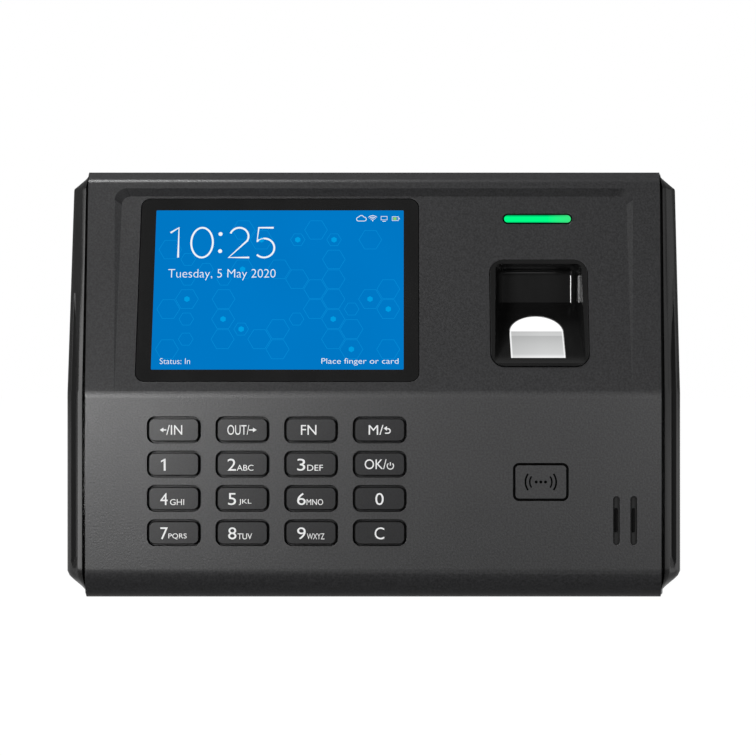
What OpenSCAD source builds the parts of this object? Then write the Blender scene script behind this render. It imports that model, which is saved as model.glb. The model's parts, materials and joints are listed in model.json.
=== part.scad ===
// Wall terminal with a colour display, a finger recess, a sixteen-key pad and a card reader.
// The origin is on the wall, at the centre of the wall plate's back. The front faces -Y and +Z is up.
// All sizes are in millimetres and all angles in degrees.

/* [Case] */
// Height of the case
body_h = 125.6; // [110:0.2:150]
// Width of the front face at the lower panel
front_w = 166.8; // [160:0.2:190]
// Distance from the wall to the lower panel
depth = 40; // [38:0.5:50]
// Height of the ridge above the bottom of the case
ridge_up = 59.6; // [57:0.2:62]
// Lean of the frame round the upper panel
frame_tilt = 15.9; // [12:0.1:16.5]
// Lean of the sunk upper panel
panel_tilt = 17.3; // [17:0.1:18.5]
// Draft of the side walls
side_draft = 5; // [1:0.5:7]
// Wall thickness of both covers
wall = 2.4; // [2:0.1:3]
// Wall thickness behind the sunk panel
panel_wall = 3; // [2.6:0.1:4]
// Height of the sloping band along the front top edge
crest_h = 2.7; // [1.5:0.1:4]
// Lean of that band
crest_tilt = 50; // [40:1:60]
// Radius of the fold below that band
fold_r = 3; // [1:0.1:4]
// Radius of the front top edge
top_r = 1; // [0.5:0.1:1.5]
// Radius of the ridge
ridge_r = 10; // [4:1:20]
// Radius of the front bottom edge
bottom_r = 9; // [5:0.5:12]
// Radius of the back edges
back_r = 3; // [1:0.5:5]
// Depth of the rear cover, from the wall to the joint line
rear_d = 13; // [11:0.5:14]
// Gap between the rear cover and the wall
back_gap = 0.8; // [0.4:0.1:1.2]
// Reach of the rear cover's lip into the front cover
lip_l = 2.5; // [1:0.1:4]
// Thickness of the lip
lip_t = 1.2; // [0.8:0.1:2]

/* [Sunk panel] */
// Width of the sunk panel at its floor
panel_w = 150; // [148:0.5:154]
// Height of its floor up the slope from the ridge
panel_l = 61.3; // [61:0.1:63]
// Outward run of its walls for each millimetre of depth
panel_flare = 1.3; // [0.5:0.1:2]
// Corner radius of its floor
panel_r = 2.6; // [1:0.1:5]

/* [Side trims] */
// Reach of a trim past the front face's edge
trim_out = 6.5; // [5:0.1:7]
// Distance of a trim's front edge behind the front
trim_front = 4.3; // [3:0.1:6]
// Depth of a trim from front to back
trim_d = 15.5; // [14:0.1:16]
// Depth of the shadow gap beside the front cover
trim_gap_d = 2.7; // [1:0.1:4]
// Depth of the long groove
trim_groove = 0.9; // [0.3:0.1:1.4]
// Draft of a trim's outer face
trim_draft = 2; // [0:0.5:3]
// Height of a trim's lower end above the bottom of the case
trim_low = 0.4; // [0.2:0.1:4]
// Distance of a trim's upper end below the top of the case
trim_high = 0.3; // [0.2:0.1:4]
// Length of the rounded lower end
trim_low_l = 7; // [4:0.5:12]
// Length of the slanted upper end
trim_high_l = 4.5; // [3:0.5:12]
// Diameter of the pegs that hold a trim
peg_d = 3; // [2:0.1:4]

/* [Display] */
// Width of the glass
glass_w = 82.2; // [80:0.1:86]
// Height of the glass
glass_h = 56.9; // [54:0.1:57.5]
// Thickness of the glass
glass_t = 1.5; // [1:0.1:1.8]
// Corner radius of the glass
glass_r = 2.7; // [1:0.1:5]
// Sideways place of the display and the keypad
left_x = -27.9; // [-29:0.1:-26]
// Height of the display's centre up the slope
glass_up = 32.1; // [31:0.1:32.5]
// Width of the lit picture
view_w = 73.4; // [70:0.1:74]
// Height of the lit picture
view_h = 49.6; // [46:0.1:50]
// Rim of the display module round the picture
lcd_rim = 2.6; // [2:0.1:3]
// Thickness of the display module
lcd_t = 3.5; // [2.5:0.1:4]
// Thickness of the retainer behind the module
retainer_t = 1.2; // [0.8:0.1:2]

/* [Status light] */
// Width of the light bar
light_w = 19.8; // [14:0.1:24]
// Height of the light bar
light_h = 2.4; // [2:0.1:4]
// Gap round the light bar
light_gap = 0.45; // [0.15:0.05:0.6]
// Height of the light bar up the slope
light_up = 54.2; // [53.5:0.1:55]
// Thickness of the light board
light_board_t = 1.2; // [0.8:0.1:1.6]

/* [Finger sensor] */
// Sideways place of the sensor, the light bar and the card mark
right_x = 48.5; // [47:0.1:50]
// Width of the bezel's rim
bezel_w = 28.6; // [28:0.1:32]
// Height of the bezel's rim
bezel_h = 33; // [31:0.1:34]
// Height of the bezel's centre up the slope
bezel_up = 24.7; // [24:0.1:25.5]
// Corner radius of the rim
bezel_r = 4.1; // [1:0.1:5]
// How far the rim stands out of the panel
bezel_proud = 0.5; // [0.2:0.1:1]
// Width of the rim beside the recess
rim_w = 1.2; // [1:0.1:2.5]
// Depth of the recess behind the lower panel
cave_d = 26; // [22:0.5:28]
// Height of the recess's back wall above the ridge, at its foot
cave_low = 27.3; // [26:0.1:28]
// Height of the recess's back wall
cave_h = 9.6; // [8:0.1:10]
// Draft of the recess's side walls
cave_draft = 3.5; // [1:0.5:6]
// Radius of the recess's inner edges
cave_r = 1.5; // [0.5:0.1:2]
// Height of the ramp's foot above the ridge
ramp_low = 9.9; // [9:0.1:11]
// Depth of the ramp's foot behind the lower panel
ramp_d = 3.6; // [3:0.1:4.5]
// Wall thickness of the recess
tub_wall = 1.6; // [1:0.1:2]
// Width of the sensor window
window_w = 15.9; // [14:0.1:18]
// Sideways place of the window from the recess's middle
window_x = -0.4; // [-1:0.1:1]
// Length of the sensor window along the ramp
window_l = 20.8; // [19:0.1:22]
// Distance of the window from the ramp's foot
window_low = 0.9; // [0.5:0.1:2]
// Thickness of the sensor window
window_t = 1.5; // [1:0.1:2]
// Width of the optical module
module_w = 24; // [20:0.5:26]
// Length of the optical module
module_l = 21; // [18:0.5:22]
// Thickness of the optical module
module_t = 10; // [6:0.5:11]

/* [Keypad] */
// Width of a key
key_w = 14.4; // [12:0.1:16]
// Height of a key
key_h = 6.5; // [5:0.1:7]
// Corner radius of a key
key_r = 1.7; // [0.5:0.1:3]
// Gap round a key
key_gap = 0.55; // [0.3:0.05:0.7]
// How far a key stands out of the panel
key_proud = 0.8; // [0.4:0.1:1.5]
// Travel of a key
key_travel = 0.9; // [0.4:0.1:1]
// Column spacing
key_step_x = 19.85; // [19:0.05:20.5]
// Row spacing
key_step_z = 9.92; // [9.4:0.02:10.4]
// Distance of the keypad's centre below the ridge
keypad_down = 25.4; // [24.5:0.1:27]
// Reach of a key's flange past its hole
flange_w = 0.7; // [0.4:0.1:0.8]
// Thickness of a key's flange
flange_t = 1; // [0.6:0.1:1.2]
// Diameter of a key's stem
stem_d = 2.6; // [2:0.1:3]
// Side of a key switch
switch_w = 6; // [5:0.1:7]
// Height of a key switch
switch_h = 2.2; // [2:0.1:3]

/* [Speaker and card reader] */
// Sideways place of the speaker
speaker_x = 72.9; // [72:0.1:73.2]
// Distance of the speaker below the ridge
speaker_down = 36.8; // [35:0.1:37.5]
// Width of the speaker
speaker_w = 14; // [12:0.1:14.4]
// Height of the speaker
speaker_h = 22; // [18:0.1:23]
// Thickness of the speaker
speaker_t = 4.5; // [3:0.1:6]
// Spacing of the two slots
slot_step = 5; // [4:0.1:6]
// Width of a slot
slot_w = 1.85; // [1.5:0.05:2.5]
// Length of a slot
slot_l = 14.2; // [10:0.1:16]
// Depth of a slot's outer groove
slot_d = 1.5; // [0.4:0.1:1.5]
// Width of the opening in a slot
vent_w = 1; // [0.6:0.1:1.4]
// Length of the opening in a slot
vent_l = 7; // [4:0.1:9]
// Distance of the card mark's centre below the ridge
card_down = 25.6; // [24:0.1:27]
// Width of the card antenna
antenna_w = 26; // [20:0.5:28]
// Height of the card antenna
antenna_h = 32; // [24:0.5:36]
// Thickness of the card antenna
antenna_t = 1; // [0.6:0.1:1.6]

/* [Boards and sockets] */
// Thickness of the main and keypad boards
board_t = 1.6; // [1:0.1:2]
// Distance of the main board's back from the wall
main_y = 19; // [18.6:0.1:19.6]
// Left edge of the main board
main_left = 58; // [56:0.5:62]
// Right edge of the main board's upper part
main_right = 31; // [29:0.5:32]
// Right edge of the main board's lower part
main_foot = 44; // [43:0.5:46]
// Upper edge of the main board above the ridge
main_up = 30; // [28:0.5:32]
// Lower edge of the main board below the ridge
main_down = 46.8; // [44:0.2:48]
// Width of the network socket
lan_w = 16; // [15:0.1:17]
// Height of the network socket off the board
lan_h = 13.4; // [12:0.1:13.8]
// Length of the network socket
lan_l = 21; // [16:0.5:22]
// Width of the network socket's mouth
lan_mouth_w = 11.7; // [11:0.1:12]
// Height of the network socket's mouth
lan_mouth_h = 8; // [7:0.1:8.5]
// Depth of the network socket's mouth
lan_mouth_d = 14; // [10:0.5:15]
// Width of the data socket
usb_w = 14.5; // [13.5:0.1:15]
// Height of the data socket off the board
usb_h = 8.6; // [8.2:0.1:9]
// Length of the data socket
usb_l = 14; // [12:0.5:16]
// Width of the wiring terminals
terminal_w = 20.3; // [18:0.1:21]
// Height of the wiring terminals off the board
terminal_h = 10; // [8:0.1:11]
// Length of the wiring terminals
terminal_l = 10; // [8:0.1:12]
// Diameter of the clock cell
cell_d = 20; // [16:0.5:22]
// Thickness of the clock cell
cell_t = 3.2; // [2:0.1:4]

/* [Rear bay and wall plate] */
// Width of the bay for the sockets
bay_w = 64; // [62:0.5:66]
// Upper edge of the bay below the ridge
bay_up = 12.8; // [12:0.2:14]
// Height of the bay
bay_h = 30; // [26:0.5:31]
// Depth of the bay from the wall
bay_d = 16.4; // [14:0.1:16.5]
// Width of the wall plate
plate_w = 112; // [108:0.5:116]
// Upper edge of the wall plate above the wall plate's hole centre
plate_up = 42; // [40:0.5:46]
// Lower edge of the wall plate below the same centre
plate_down = 57.5; // [56.5:0.1:58]
// Thickness of the wall plate
plate_t = 1.6; // [1.2:0.1:2]
// Corner radius of the wall plate
plate_r = 5; // [2:0.5:8]
// Sideways spacing of the wall screw holes
hole_x = 96; // [94:0.5:98]
// Upright spacing of the wall screw holes
hole_z = 60; // [58:0.5:62]
// Diameter of the wall screw holes
hole_d = 4.6; // [4:0.1:5.5]
// Width of the cable hole
cable_w = 48; // [30:0.5:56]
// Height of the cable hole
cable_h = 22; // [14:0.5:24]
// Sideways spacing of the hooks
hook_x = 60; // [50:0.5:66]
// Height of the hooks above the hole centre
hook_up = 33; // [31:0.5:34]
// Width of a hook
hook_w = 8; // [6:0.5:10]
// Reach of the bent tab that takes the lock screw
tab_l = 11; // [9:0.1:11.4]
// Width of the bent tab
tab_w = 18; // [14:0.5:20]

/* [Screws] */
// Sideways place of the cover screws
screw_x = 74; // [73.5:0.1:75]
// Distance of the upper cover screws below the top
screw_high = 10.6; // [10:0.1:12]
// Distance of the lower cover screws above the bottom
screw_low = 7.1; // [6.8:0.1:8]
// Shank diameter of the cover screws and the lock screw
screw_d = 2.9; // [2.5:0.1:3.2]
// Head diameter of the cover screws and the lock screw
head_d = 5.6; // [5:0.1:6]
// Head height of the cover screws and the lock screw
head_h = 2; // [1.5:0.1:2.4]
// Shank diameter of the small screws
small_d = 2; // [1.6:0.1:2.2]
// Head diameter of the small screws
small_head_d = 4; // [3:0.1:4.2]
// Head height of the small screws
small_head_h = 1.3; // [1:0.1:1.5]

/* [Tamper switch] */
// Sideways place of the tamper switch
tamper_x = -44; // [-46:0.5:-42]
// Height of the tamper switch above the ridge
tamper_z = 15.2; // [11.2:0.5:19.2]
// Side of the tamper switch
tamper_w = 7; // [6:0.1:8]
// Diameter of its plunger
plunger_d = 3; // [2:0.1:4]
// Travel left in the plunger once the terminal hangs on its plate
plunger_travel = 0.6; // [0.3:0.1:0.8]

/* [Clearances] */
// Gap round pieces set into a cover
fit = 0.15; // [0.1:0.05:0.3]
// Gap round moving pieces
slip = 0.3; // [0.2:0.05:0.4]
// Gap round screws in their pilot holes
pilot_gap = 0.05; // [0.02:0.01:0.1]
// Gap round screws in the pieces that they clamp
screw_gap = 0.25; // [0.1:0.05:0.4]

/* [Hidden] */
$fn = 48;
eps = 0.01;
far = 200;
top_z = body_h / 2;
bottom_z = -body_h / 2;
ridge_z = bottom_z + ridge_up;
front_y = -depth;
joint_y = -rear_d;
back_y = -back_gap;
inner_y = front_y + wall;
arc_steps = 8;
hull_fn = 32;

case_grey = [0.24, 0.25, 0.27];
gloss_black = [0.07, 0.07, 0.08];
back_black = [0.12, 0.12, 0.13];
key_grey = [0.22, 0.23, 0.25];
board_green = [0.05, 0.32, 0.18];
chip_black = [0.1, 0.1, 0.1];
steel = [0.7, 0.71, 0.72];
light_green = [0, 1, 0.5];
window_white = [0.93, 0.94, 0.94];
screen_blue = [0, 0.47, 0.77];
terminal_green = [0.1, 0.55, 0.3];
ribbon_white = [0.88, 0.88, 0.85];

// Keypad layout
key_names = [
    ["key_in", "key_out", "key_fn", "key_menu"],
    ["key_1", "key_2", "key_3", "key_ok"],
    ["key_4", "key_5", "key_6", "key_0"],
    ["key_7", "key_8", "key_9", "key_clear"]
];
key_rows = len(key_names);
key_cols = len(key_names[0]);
keypad_z = ridge_z - keypad_down;
key_hole_w = key_w + 2 * key_gap;
key_hole_h = key_h + 2 * key_gap;
stop_gap = 0.15;
flange_y = inner_y + stop_gap;
press_room = 0.35;
switch_y = flange_y + flange_t + key_travel + press_room;
key_board_y = switch_y + switch_h;
stem_in = 0.4;
stem_end_y = switch_y + stem_in;
switch_bore_d = stem_d + 2 * slip + 0.2;
switch_bore_y = stem_end_y + key_travel + slip;
keypad_post_d = 5;
keypad_post_x = (key_cols - 1) / 2 * key_step_x + key_hole_w / 2 + flange_w + keypad_post_d / 2 + 0.6;
keypad_post_z = 1.66 * key_step_z;
key_board_w = 2 * keypad_post_x + keypad_post_d + 1.4;
key_board_h = (key_rows - 1) * key_step_z + key_hole_h + 5.6;
key_board_r = 2;

// Display stack, measured inward from the sunk panel
glass_in = 0.1;
glass_floor = glass_in + glass_t;
lcd_y = panel_wall + 0.05;
lcd_w = view_w + 2 * lcd_rim;
lcd_h = view_h + 2 * lcd_rim;
retainer_y = lcd_y + lcd_t;
retainer_post_d = 5;
retainer_post_x = lcd_w / 2 + retainer_post_d / 2 + 2;
retainer_post_up = 12;
retainer_w = 2 * retainer_post_x + retainer_post_d + 1;
retainer_h = 0.84 * lcd_h;
retainer_bar = 9;
lcd_window_w = view_w + 2.6;
lcd_window_h = view_h + 2;

// Status light stack
light_hole_w = light_w + 2 * light_gap;
light_hole_h = light_h + 2 * light_gap;
light_flange = 1.1;
light_flange_t = 0.95;
light_foot_y = panel_wall + 0.05;
led_y = light_foot_y + light_flange_t + 0.9;
led_t = 1.1;
light_board_y = led_y + led_t;
light_post_d = 4;
light_post_x = light_w / 2 + light_flange + light_post_d / 2 + 1.4;
light_board_w = 2 * light_post_x + light_post_d;
light_board_h = 7.6;

// Finger recess, in the case's own axes
cave_y = front_y + cave_d;
cave_foot_z = ridge_z + cave_low;
cave_head_z = cave_foot_z + cave_h;
ramp_y = front_y + ramp_d;
ramp_z = ridge_z + ramp_low;
ramp_a = atan2(cave_foot_z - ramp_z, cave_y - ramp_y);
ceiling_rise = 0.085;
cave_front_y = front_y - 6;
cave_half = bezel_w / 2 - rim_w - (ramp_y - cave_y) * -tan(cave_draft);
bezel_flange = 4.6;
bezel_flange_t = 1.5;
bezel_flange_y = panel_wall + 0.05;
bezel_flange_low = 15;
bezel_screw_x = bezel_w / 2 + bezel_flange / 2;
bezel_screw_up = [bezel_flange_low + 3, bezel_up + bezel_h / 2 - 3];
window_in = 0.25;
module_top = tub_wall + 0.15;
module_low = 2.6;

// Speaker pocket
speaker_y = inner_y + 0.1;
pocket_wall = 1.2;
pocket_d = 3.6;
speaker_z = ridge_z - speaker_down;

// Main board and sockets
main_back_y = -main_y;
main_front_y = main_back_y - board_t;
main_top_z = ridge_z + main_up;
main_low_z = ridge_z - main_down;
main_step_z = ridge_z - 5;
main_post_d = 6;
main_post_in = 4;
main_screw_in = 6;
main_pilot_l = 7.5;
keypad_screw_in = 3;
bay_top_z = ridge_z - bay_up;
bay_low_z = bay_top_z - bay_h;
bay_wall = 2;
socket_z = bay_top_z;
lan_x = -20;
usb_x = -0.5;
terminal_x = 20;
terminal_ways = 4;
mouth_step = 2.8;
lan_mouth_y = main_back_y + mouth_step;
usb_shell = 0.4;
usb_tongue_t = 1.9;
usb_mouth_d = 9;
cell_x = -42;
cell_up = 13;
cell_z = ridge_z + cell_up;
holder_wall = 1.4;
// Each chip: sideways place, height from the ridge, width, height, thickness
chips = [[-10, -32, 14, 14, 1.4], [8, -32, 9, 12, 1.2], [28, -34, 16, 20, 2.4], [-32, -34, 12, 10, 2]];

// Rear cover
recess_gap = 2;
recess_y = -plate_t - 1;
rear_wall = 2.2;
rear_in_y = recess_y - rear_wall;
screw_shelf_y = joint_y;
screw_shelf_t = 2.5;
screw_seat_y = screw_shelf_y + screw_shelf_t;
screw_tube_d = head_d + 3.9;
screw_hole_d = head_d + 1;
screw_post_d = 7;
screw_in = 7;
screw_up_z = top_z - screw_high;
screw_low_z = bottom_z + screw_low;
pocket_head_d = hole_d + 6.4;
pocket_head_y = recess_y - 2.8;

// Wall plate
tab_z = -plate_down;
lock_y = -0.6 * tab_l - plate_t / 2;
hook_gap = 0.1;
hook_lip_y = rear_in_y - hook_gap - plate_t;
hook_lip_h = 4.5;
hook_drop = 5;
tab_room = 0.5;
tab_box_wall = 2;
lock_seat_z = bottom_z + head_h + 0.2;
lock_len = 6;
lock_hole_l = 12;

// Tamper switch
tamper_end_y = -7;
tamper_up_z = ridge_z + tamper_z;
plunger_in = 2.5;
plunger_gap = 0.05;

// Trim section: share of the trim's reach, depth behind the front
trim_back = trim_front + trim_d;
trim_gap_share = 0.16;
trim_bevel_share = 0.36;
trim_bevel_d = 1.2;
trim_flare_share = 0.92;
trim_flare_d = 6.2;
trim_brow_d = 7.6;
trim_edge_d = 9.4;
trim_end_min = 0.12;
peg_depth = 0.55 * trim_d;
peg_down = 36;
peg_up = 31;
peg_zs = [ridge_z - peg_down, ridge_z + peg_up];
peg_hole_l = 12;
groove_low = 8;
groove_high = 0.42;

// Unit vector along v.
function unit(v) = v / norm(v);

// Arc that rounds corner q between neighbours p and s with radius r.
function corner(p, q, s, r) =
    let (u = unit(p - q), v = unit(s - q))
    let (half = acos(u * v) / 2)
    let (mid = q + unit(u + v) * r / sin(half))
    let (start = q + u * r / tan(half), stop = q + v * r / tan(half))
    let (a = atan2(start.y - mid.y, start.x - mid.x))
    let (raw = atan2(stop.y - mid.y, stop.x - mid.x) - a)
    let (turn = raw > 180 ? raw - 360 : raw < -180 ? raw + 360 : raw)
    [for (i = [0:arc_steps]) mid + r * [cos(a + turn * i / arc_steps), sin(a + turn * i / arc_steps)]];

// Outline through points with a radius at each corner, where 0 keeps the corner sharp.
function rounded(points, radii) =
    let (n = len(points))
    [
        for (i = [0:n - 1])
            each (radii[i] > 0
                ? corner(points[(i + n - 1) % n], points[i], points[(i + 1) % n], radii[i])
                : [points[i]])
    ];

// Closed outline of a strip of thickness t along an open path.
function strip(path, t) =
    let (n = len(path))
    let (dirs = [for (i = [0:n - 1]) unit(path[min(i + 1, n - 1)] - path[max(i - 1, 0)])])
    let (sides = [for (d = dirs) [-d.y, d.x] * t / 2])
    concat(
        [for (i = [0:n - 1]) path[i] + sides[i]],
        [for (i = [n - 1:-1:0]) path[i] - sides[i]]
    );

// Open path with its inner corners rounded.
function soft_path(path, r) =
    let (n = len(path))
    [
        for (i = [0:n - 1])
            each (i == 0 || i == n - 1
                ? [path[i]]
                : corner(path[i - 1], path[i], path[i + 1], r))
    ];

// Half width of the covers at depth y.
function half_w(y) = front_w / 2 + (y + depth) * tan(side_draft);

// Front of the case at height z, without the radii at its edges.
function front_at(z) = front_y + max(0, z - ridge_z) * tan(frame_tilt);

// How far the rounded foot of the front falls back at height z.
function foot_back(z) =
    let (drop = max(0, bottom_z + bottom_r - z))
    bottom_r - sqrt(bottom_r * bottom_r - drop * drop);

// Corners of the case in side view, as [y, z].
function outer_corners(end_y) =
    let (fold_z = top_z - crest_h)
    let (fold_y = front_at(fold_z))
    [
        [front_y, bottom_z],
        [front_y, ridge_z],
        [fold_y, fold_z],
        [fold_y + crest_h * tan(crest_tilt), top_z],
        [end_y, top_z],
        [end_y, bottom_z]
    ];

// Corners of the hollow behind the front wall, in side view.
function inner_corners(end_y) =
    let (start = [front_y + panel_wall * cos(panel_tilt), ridge_z - panel_wall * sin(panel_tilt)])
    let (bend_z = start.y + (inner_y - start.x) / tan(panel_tilt))
    let (head_z = top_z - wall)
    let (head_y = start.x + (head_z - start.y) * tan(panel_tilt))
    let (foot_z = bottom_z + wall)
    [[inner_y, foot_z], [inner_y, bend_z], [head_y, head_z], [end_y, head_z], [end_y, foot_z]];

// Height of the ramp at depth y, lowered by g square to it.
function ramp_at(y, g) = ramp_z + (y - ramp_y) * tan(ramp_a) - g / cos(ramp_a);

// Height of the recess's ceiling at depth y, raised by g.
function ceiling_at(y, g) = cave_head_z - (y - cave_y) * ceiling_rise + g;

// Sideways place of a key's column and height of its row.
function key_x(col) = left_x + (col - (key_cols - 1) / 2) * key_step_x;
function key_z(row) = keypad_z + ((key_rows - 1) / 2 - row) * key_step_z;

// Share of a trim's full section at height z, which runs out at both ends.
function trim_share(z) =
    let (low = max(0, min(1, (z - bottom_z - trim_low) / trim_low_l)))
    let (high = max(0, min(1, (top_z - trim_high - z) / trim_high_l)))
    max(trim_end_min, min(low * low * (3 - 2 * low), 1.1 * high, 0.8 + 0.2 * high));

// Depth of a trim's groove at height z: full on the lower half, run out towards the top.
function groove_at(z) =
    let (low = (z - bottom_z - groove_low) / 4)
    let (high = (top_z - z) / (top_z - ridge_z) - groove_high)
    trim_groove * max(0, min(1, low, high / 0.4));

// Outline of a trim at height z, as [share of reach, depth behind the front].
function trim_section(z) =
    let (g = groove_at(z))
    let (b = [trim_bevel_share, trim_front + trim_bevel_d])
    let (f = [trim_flare_share, trim_front + trim_flare_d])
    let (dent = g * [-0.857 / trim_out, 0.514])
    let (inner = 0.01)
    [
        [inner, trim_front + trim_gap_d],
        [trim_gap_share, trim_front + trim_gap_d],
        [trim_gap_share, trim_front],
        b,
        b + (f - b) * 0.14,
        b + (f - b) * 0.24 + dent,
        b + (f - b) * 0.58 + dent,
        b + (f - b) * 0.7,
        f,
        [0.985, trim_front + trim_brow_d],
        [1, trim_front + trim_edge_d],
        [0.95, trim_front + 0.82 * trim_d],
        [0.7, trim_front + 0.95 * trim_d],
        [inner, trim_back]
    ];

// Reach of a trim's outer face at depth y.
function trim_reach(y) = front_w / 2 + trim_out + (y + depth) * tan(trim_draft) - half_w(y);

// Heights of the rings that make up a trim.
trim_zs = concat(
    [for (s = [0, 0.21, 0.35, 0.5, 0.65, 0.8, 1]) bottom_z + trim_low + s * trim_low_l],
    [for (s = [0.25, 0.5, 0.75, 1]) bottom_z + groove_low + 4 * s],
    [ridge_z - 1.2, ridge_z, ridge_z + 1.2],
    [for (s = [0.82, 0.68, 0.55, 0.42]) top_z - s * (top_z - ridge_z)],
    [for (s = [1, 0.89, 0.7, 0.4, 0.11, 0]) top_z - trim_high - s * trim_high_l]
);

// Moves its children onto the sunk panel: x stays, y runs inward and z runs up the slope.
module on_panel() {
    translate([0, front_y, ridge_z])
        rotate([-panel_tilt, 0, 0])
            children();
}

// Moves its children onto the ramp: y runs up the ramp and z stands square to it.
module on_ramp() {
    translate([right_x, ramp_y, ramp_z])
        rotate([ramp_a, 0, 0])
            children();
}

// Rounded rectangle about the origin.
module rounded_rect(w, h, r) {
    straight_w = w - 2 * r;
    straight_h = h - 2 * r;
    if (straight_h > eps)
        square([w, straight_h], center = true);
    if (straight_w > eps)
        square([straight_w, h], center = true);
    for (sx = straight_w > eps ? [-1, 1] : [0])
        for (sy = straight_h > eps ? [-1, 1] : [0])
            translate([sx * straight_w / 2, sy * straight_h / 2])
                circle(r = r);
}

// Rounded plate facing -Y, from y0 to y1, centred in x and z.
module plate(w, h, r, y0, y1) {
    translate([0, y1, 0])
        rotate([90, 0, 0])
            linear_extrude(y1 - y0)
                rounded_rect(w, h, r);
}

// Box between two corners.
module slab(lo, hi) {
    translate(lo)
        cube(hi - lo);
}

// Rod along y from y0 to y1.
module rod(d, y0, y1) {
    translate([0, y0, 0])
        rotate([-90, 0, 0])
            cylinder(d = d, h = y1 - y0);
}

// Side view outline drawn along x over width w.
module side_prism(outline, w) {
    rotate([90, 0, 90])
        translate([0, 0, -w / 2])
            linear_extrude(w)
                polygon(outline);
}

// Screw with its head at y = 0 towards +Y and its shank towards -Y.
module screw(d, len, hd, hh) {
    rod(d, -len, eps);
    rod(hd, 0, hh);
}

// Plan of the drafted covers, drawn in by g, between two depths.
module draft_prism(g, y0, y1) {
    translate([0, 0, -far / 2])
        linear_extrude(far)
            polygon([
                [-half_w(y0) + g, y0],
                [half_w(y0) - g, y0],
                [half_w(y1) - g, y1],
                [-half_w(y1) + g, y1]
            ]);
}

// Solid front half of the case.
module front_block() {
    intersection() {
        side_prism(rounded(outer_corners(joint_y), [bottom_r, ridge_r, fold_r, top_r, 0, 0]), far);
        draft_prism(0, front_y - 1, joint_y + 1);
    }
}

// Hollow of the front half.
module front_hollow() {
    intersection() {
        side_prism(rounded(inner_corners(joint_y + 1), [bottom_r - wall, ridge_r, 1, 0, 0]), far);
        draft_prism(wall, front_y - 1, joint_y + 2);
    }
}

// Wedge that sinks the upper panel, wider towards the front.
module panel_cut() {
    rise = 4;
    panel_run = 10;
    mid = (panel_l - panel_run) / 2;
    on_panel()
        hull() {
            translate([0, 0, mid])
                plate(panel_w, panel_l + panel_run, panel_r, -eps, 0, $fn = hull_fn);
            translate([0, 0, mid])
                plate(
                    panel_w + 2 * rise * panel_flare,
                    panel_l + panel_run + 2 * rise * panel_flare,
                    panel_r + rise * panel_flare / 2,
                    -rise - eps,
                    -rise,
                    $fn = hull_fn
                );
        }
}

// Places its children at every key.
module at_keys() {
    for (row = [0:key_rows - 1])
        for (col = [0:key_cols - 1])
            translate([key_x(col), 0, key_z(row)])
                children();
}

// Places its children at the keypad board's posts.
module at_keypad_posts() {
    for (sx = [-1, 1])
        for (sz = [-1, 1])
            translate([left_x + sx * keypad_post_x, 0, keypad_z + sz * keypad_post_z])
                children();
}

// Places its children at the display retainer's posts.
module at_retainer_posts() {
    on_panel()
        for (sx = [-1, 1])
            for (sz = [-1, 1])
                translate([left_x + sx * retainer_post_x, 0, glass_up + sz * retainer_post_up])
                    children();
}

// Places its children at the light board's posts.
module at_light_posts() {
    on_panel()
        for (sx = [-1, 1])
            translate([right_x + sx * light_post_x, 0, light_up])
                children();
}

// Places its children at the bezel's screws.
module at_bezel_screws() {
    on_panel()
        for (sx = [-1, 1])
            for (up = bezel_screw_up)
                translate([right_x + sx * bezel_screw_x, 0, up])
                    children();
}

// Places its children at the cover screws.
module at_cover_screws() {
    for (sx = [-1, 1])
        for (z = [screw_up_z, screw_low_z])
            translate([sx * screw_x, 0, z])
                children();
}

// Places its children at the main board's screws.
module at_main_screws() {
    spots = [
        [-main_left + main_post_in, main_top_z - main_post_in],
        [main_right - main_post_in, main_top_z - main_post_in],
        [-main_left + main_post_in, main_low_z + main_post_in],
        [main_foot - main_post_in, main_low_z + main_post_in]
    ];
    for (s = spots)
        translate([s.x, 0, s.y])
            children();
}

// Places its children at the wall screw holes.
module at_wall_holes() {
    for (sx = [-1, 1])
        for (sz = [-1, 1])
            translate([sx * hole_x / 2, 0, sz * hole_z / 2])
                children();
}

// Places its children at the trim pegs' axes, on the right-hand side.
module at_pegs() {
    for (z = peg_zs)
        translate([0, front_at(z) + trim_front + peg_depth, z])
            children();
}

// Rod along x between two places.
module cross_rod(d, x0, x1) {
    translate([x0, 0, 0])
        rotate([0, 90, 0])
            cylinder(d = d, h = x1 - x0);
}

// Oval shape of the speaker, grown by g.
module speaker_shape(g, y0, y1) {
    translate([speaker_x, 0, speaker_z])
        plate(speaker_w + 2 * g, speaker_h + 2 * g, speaker_w / 2 + g, y0, y1);
}

// Arch of the sensor window, drawn in by g, with its foot at y = 0.
module arch(g) {
    r = window_w / 2 - g;
    translate([window_x - r, window_low + g])
        square([2 * r, window_l - window_w / 2 - g]);
    translate([window_x, window_low + window_l - window_w / 2])
        circle(r = r);
}

// Posts and pockets inside the front cover.
module front_posts() {
    at_keypad_posts()
        rod(keypad_post_d, front_y + 1, key_board_y);
    at_retainer_posts()
        rod(retainer_post_d, 1, retainer_y);
    at_light_posts()
        rod(light_post_d, 1, light_board_y);
    at_cover_screws()
        rod(screw_post_d, front_y + 1, screw_shelf_y);
    speaker_shape(fit + pocket_wall, front_y + 1, inner_y + pocket_d);
}

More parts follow.
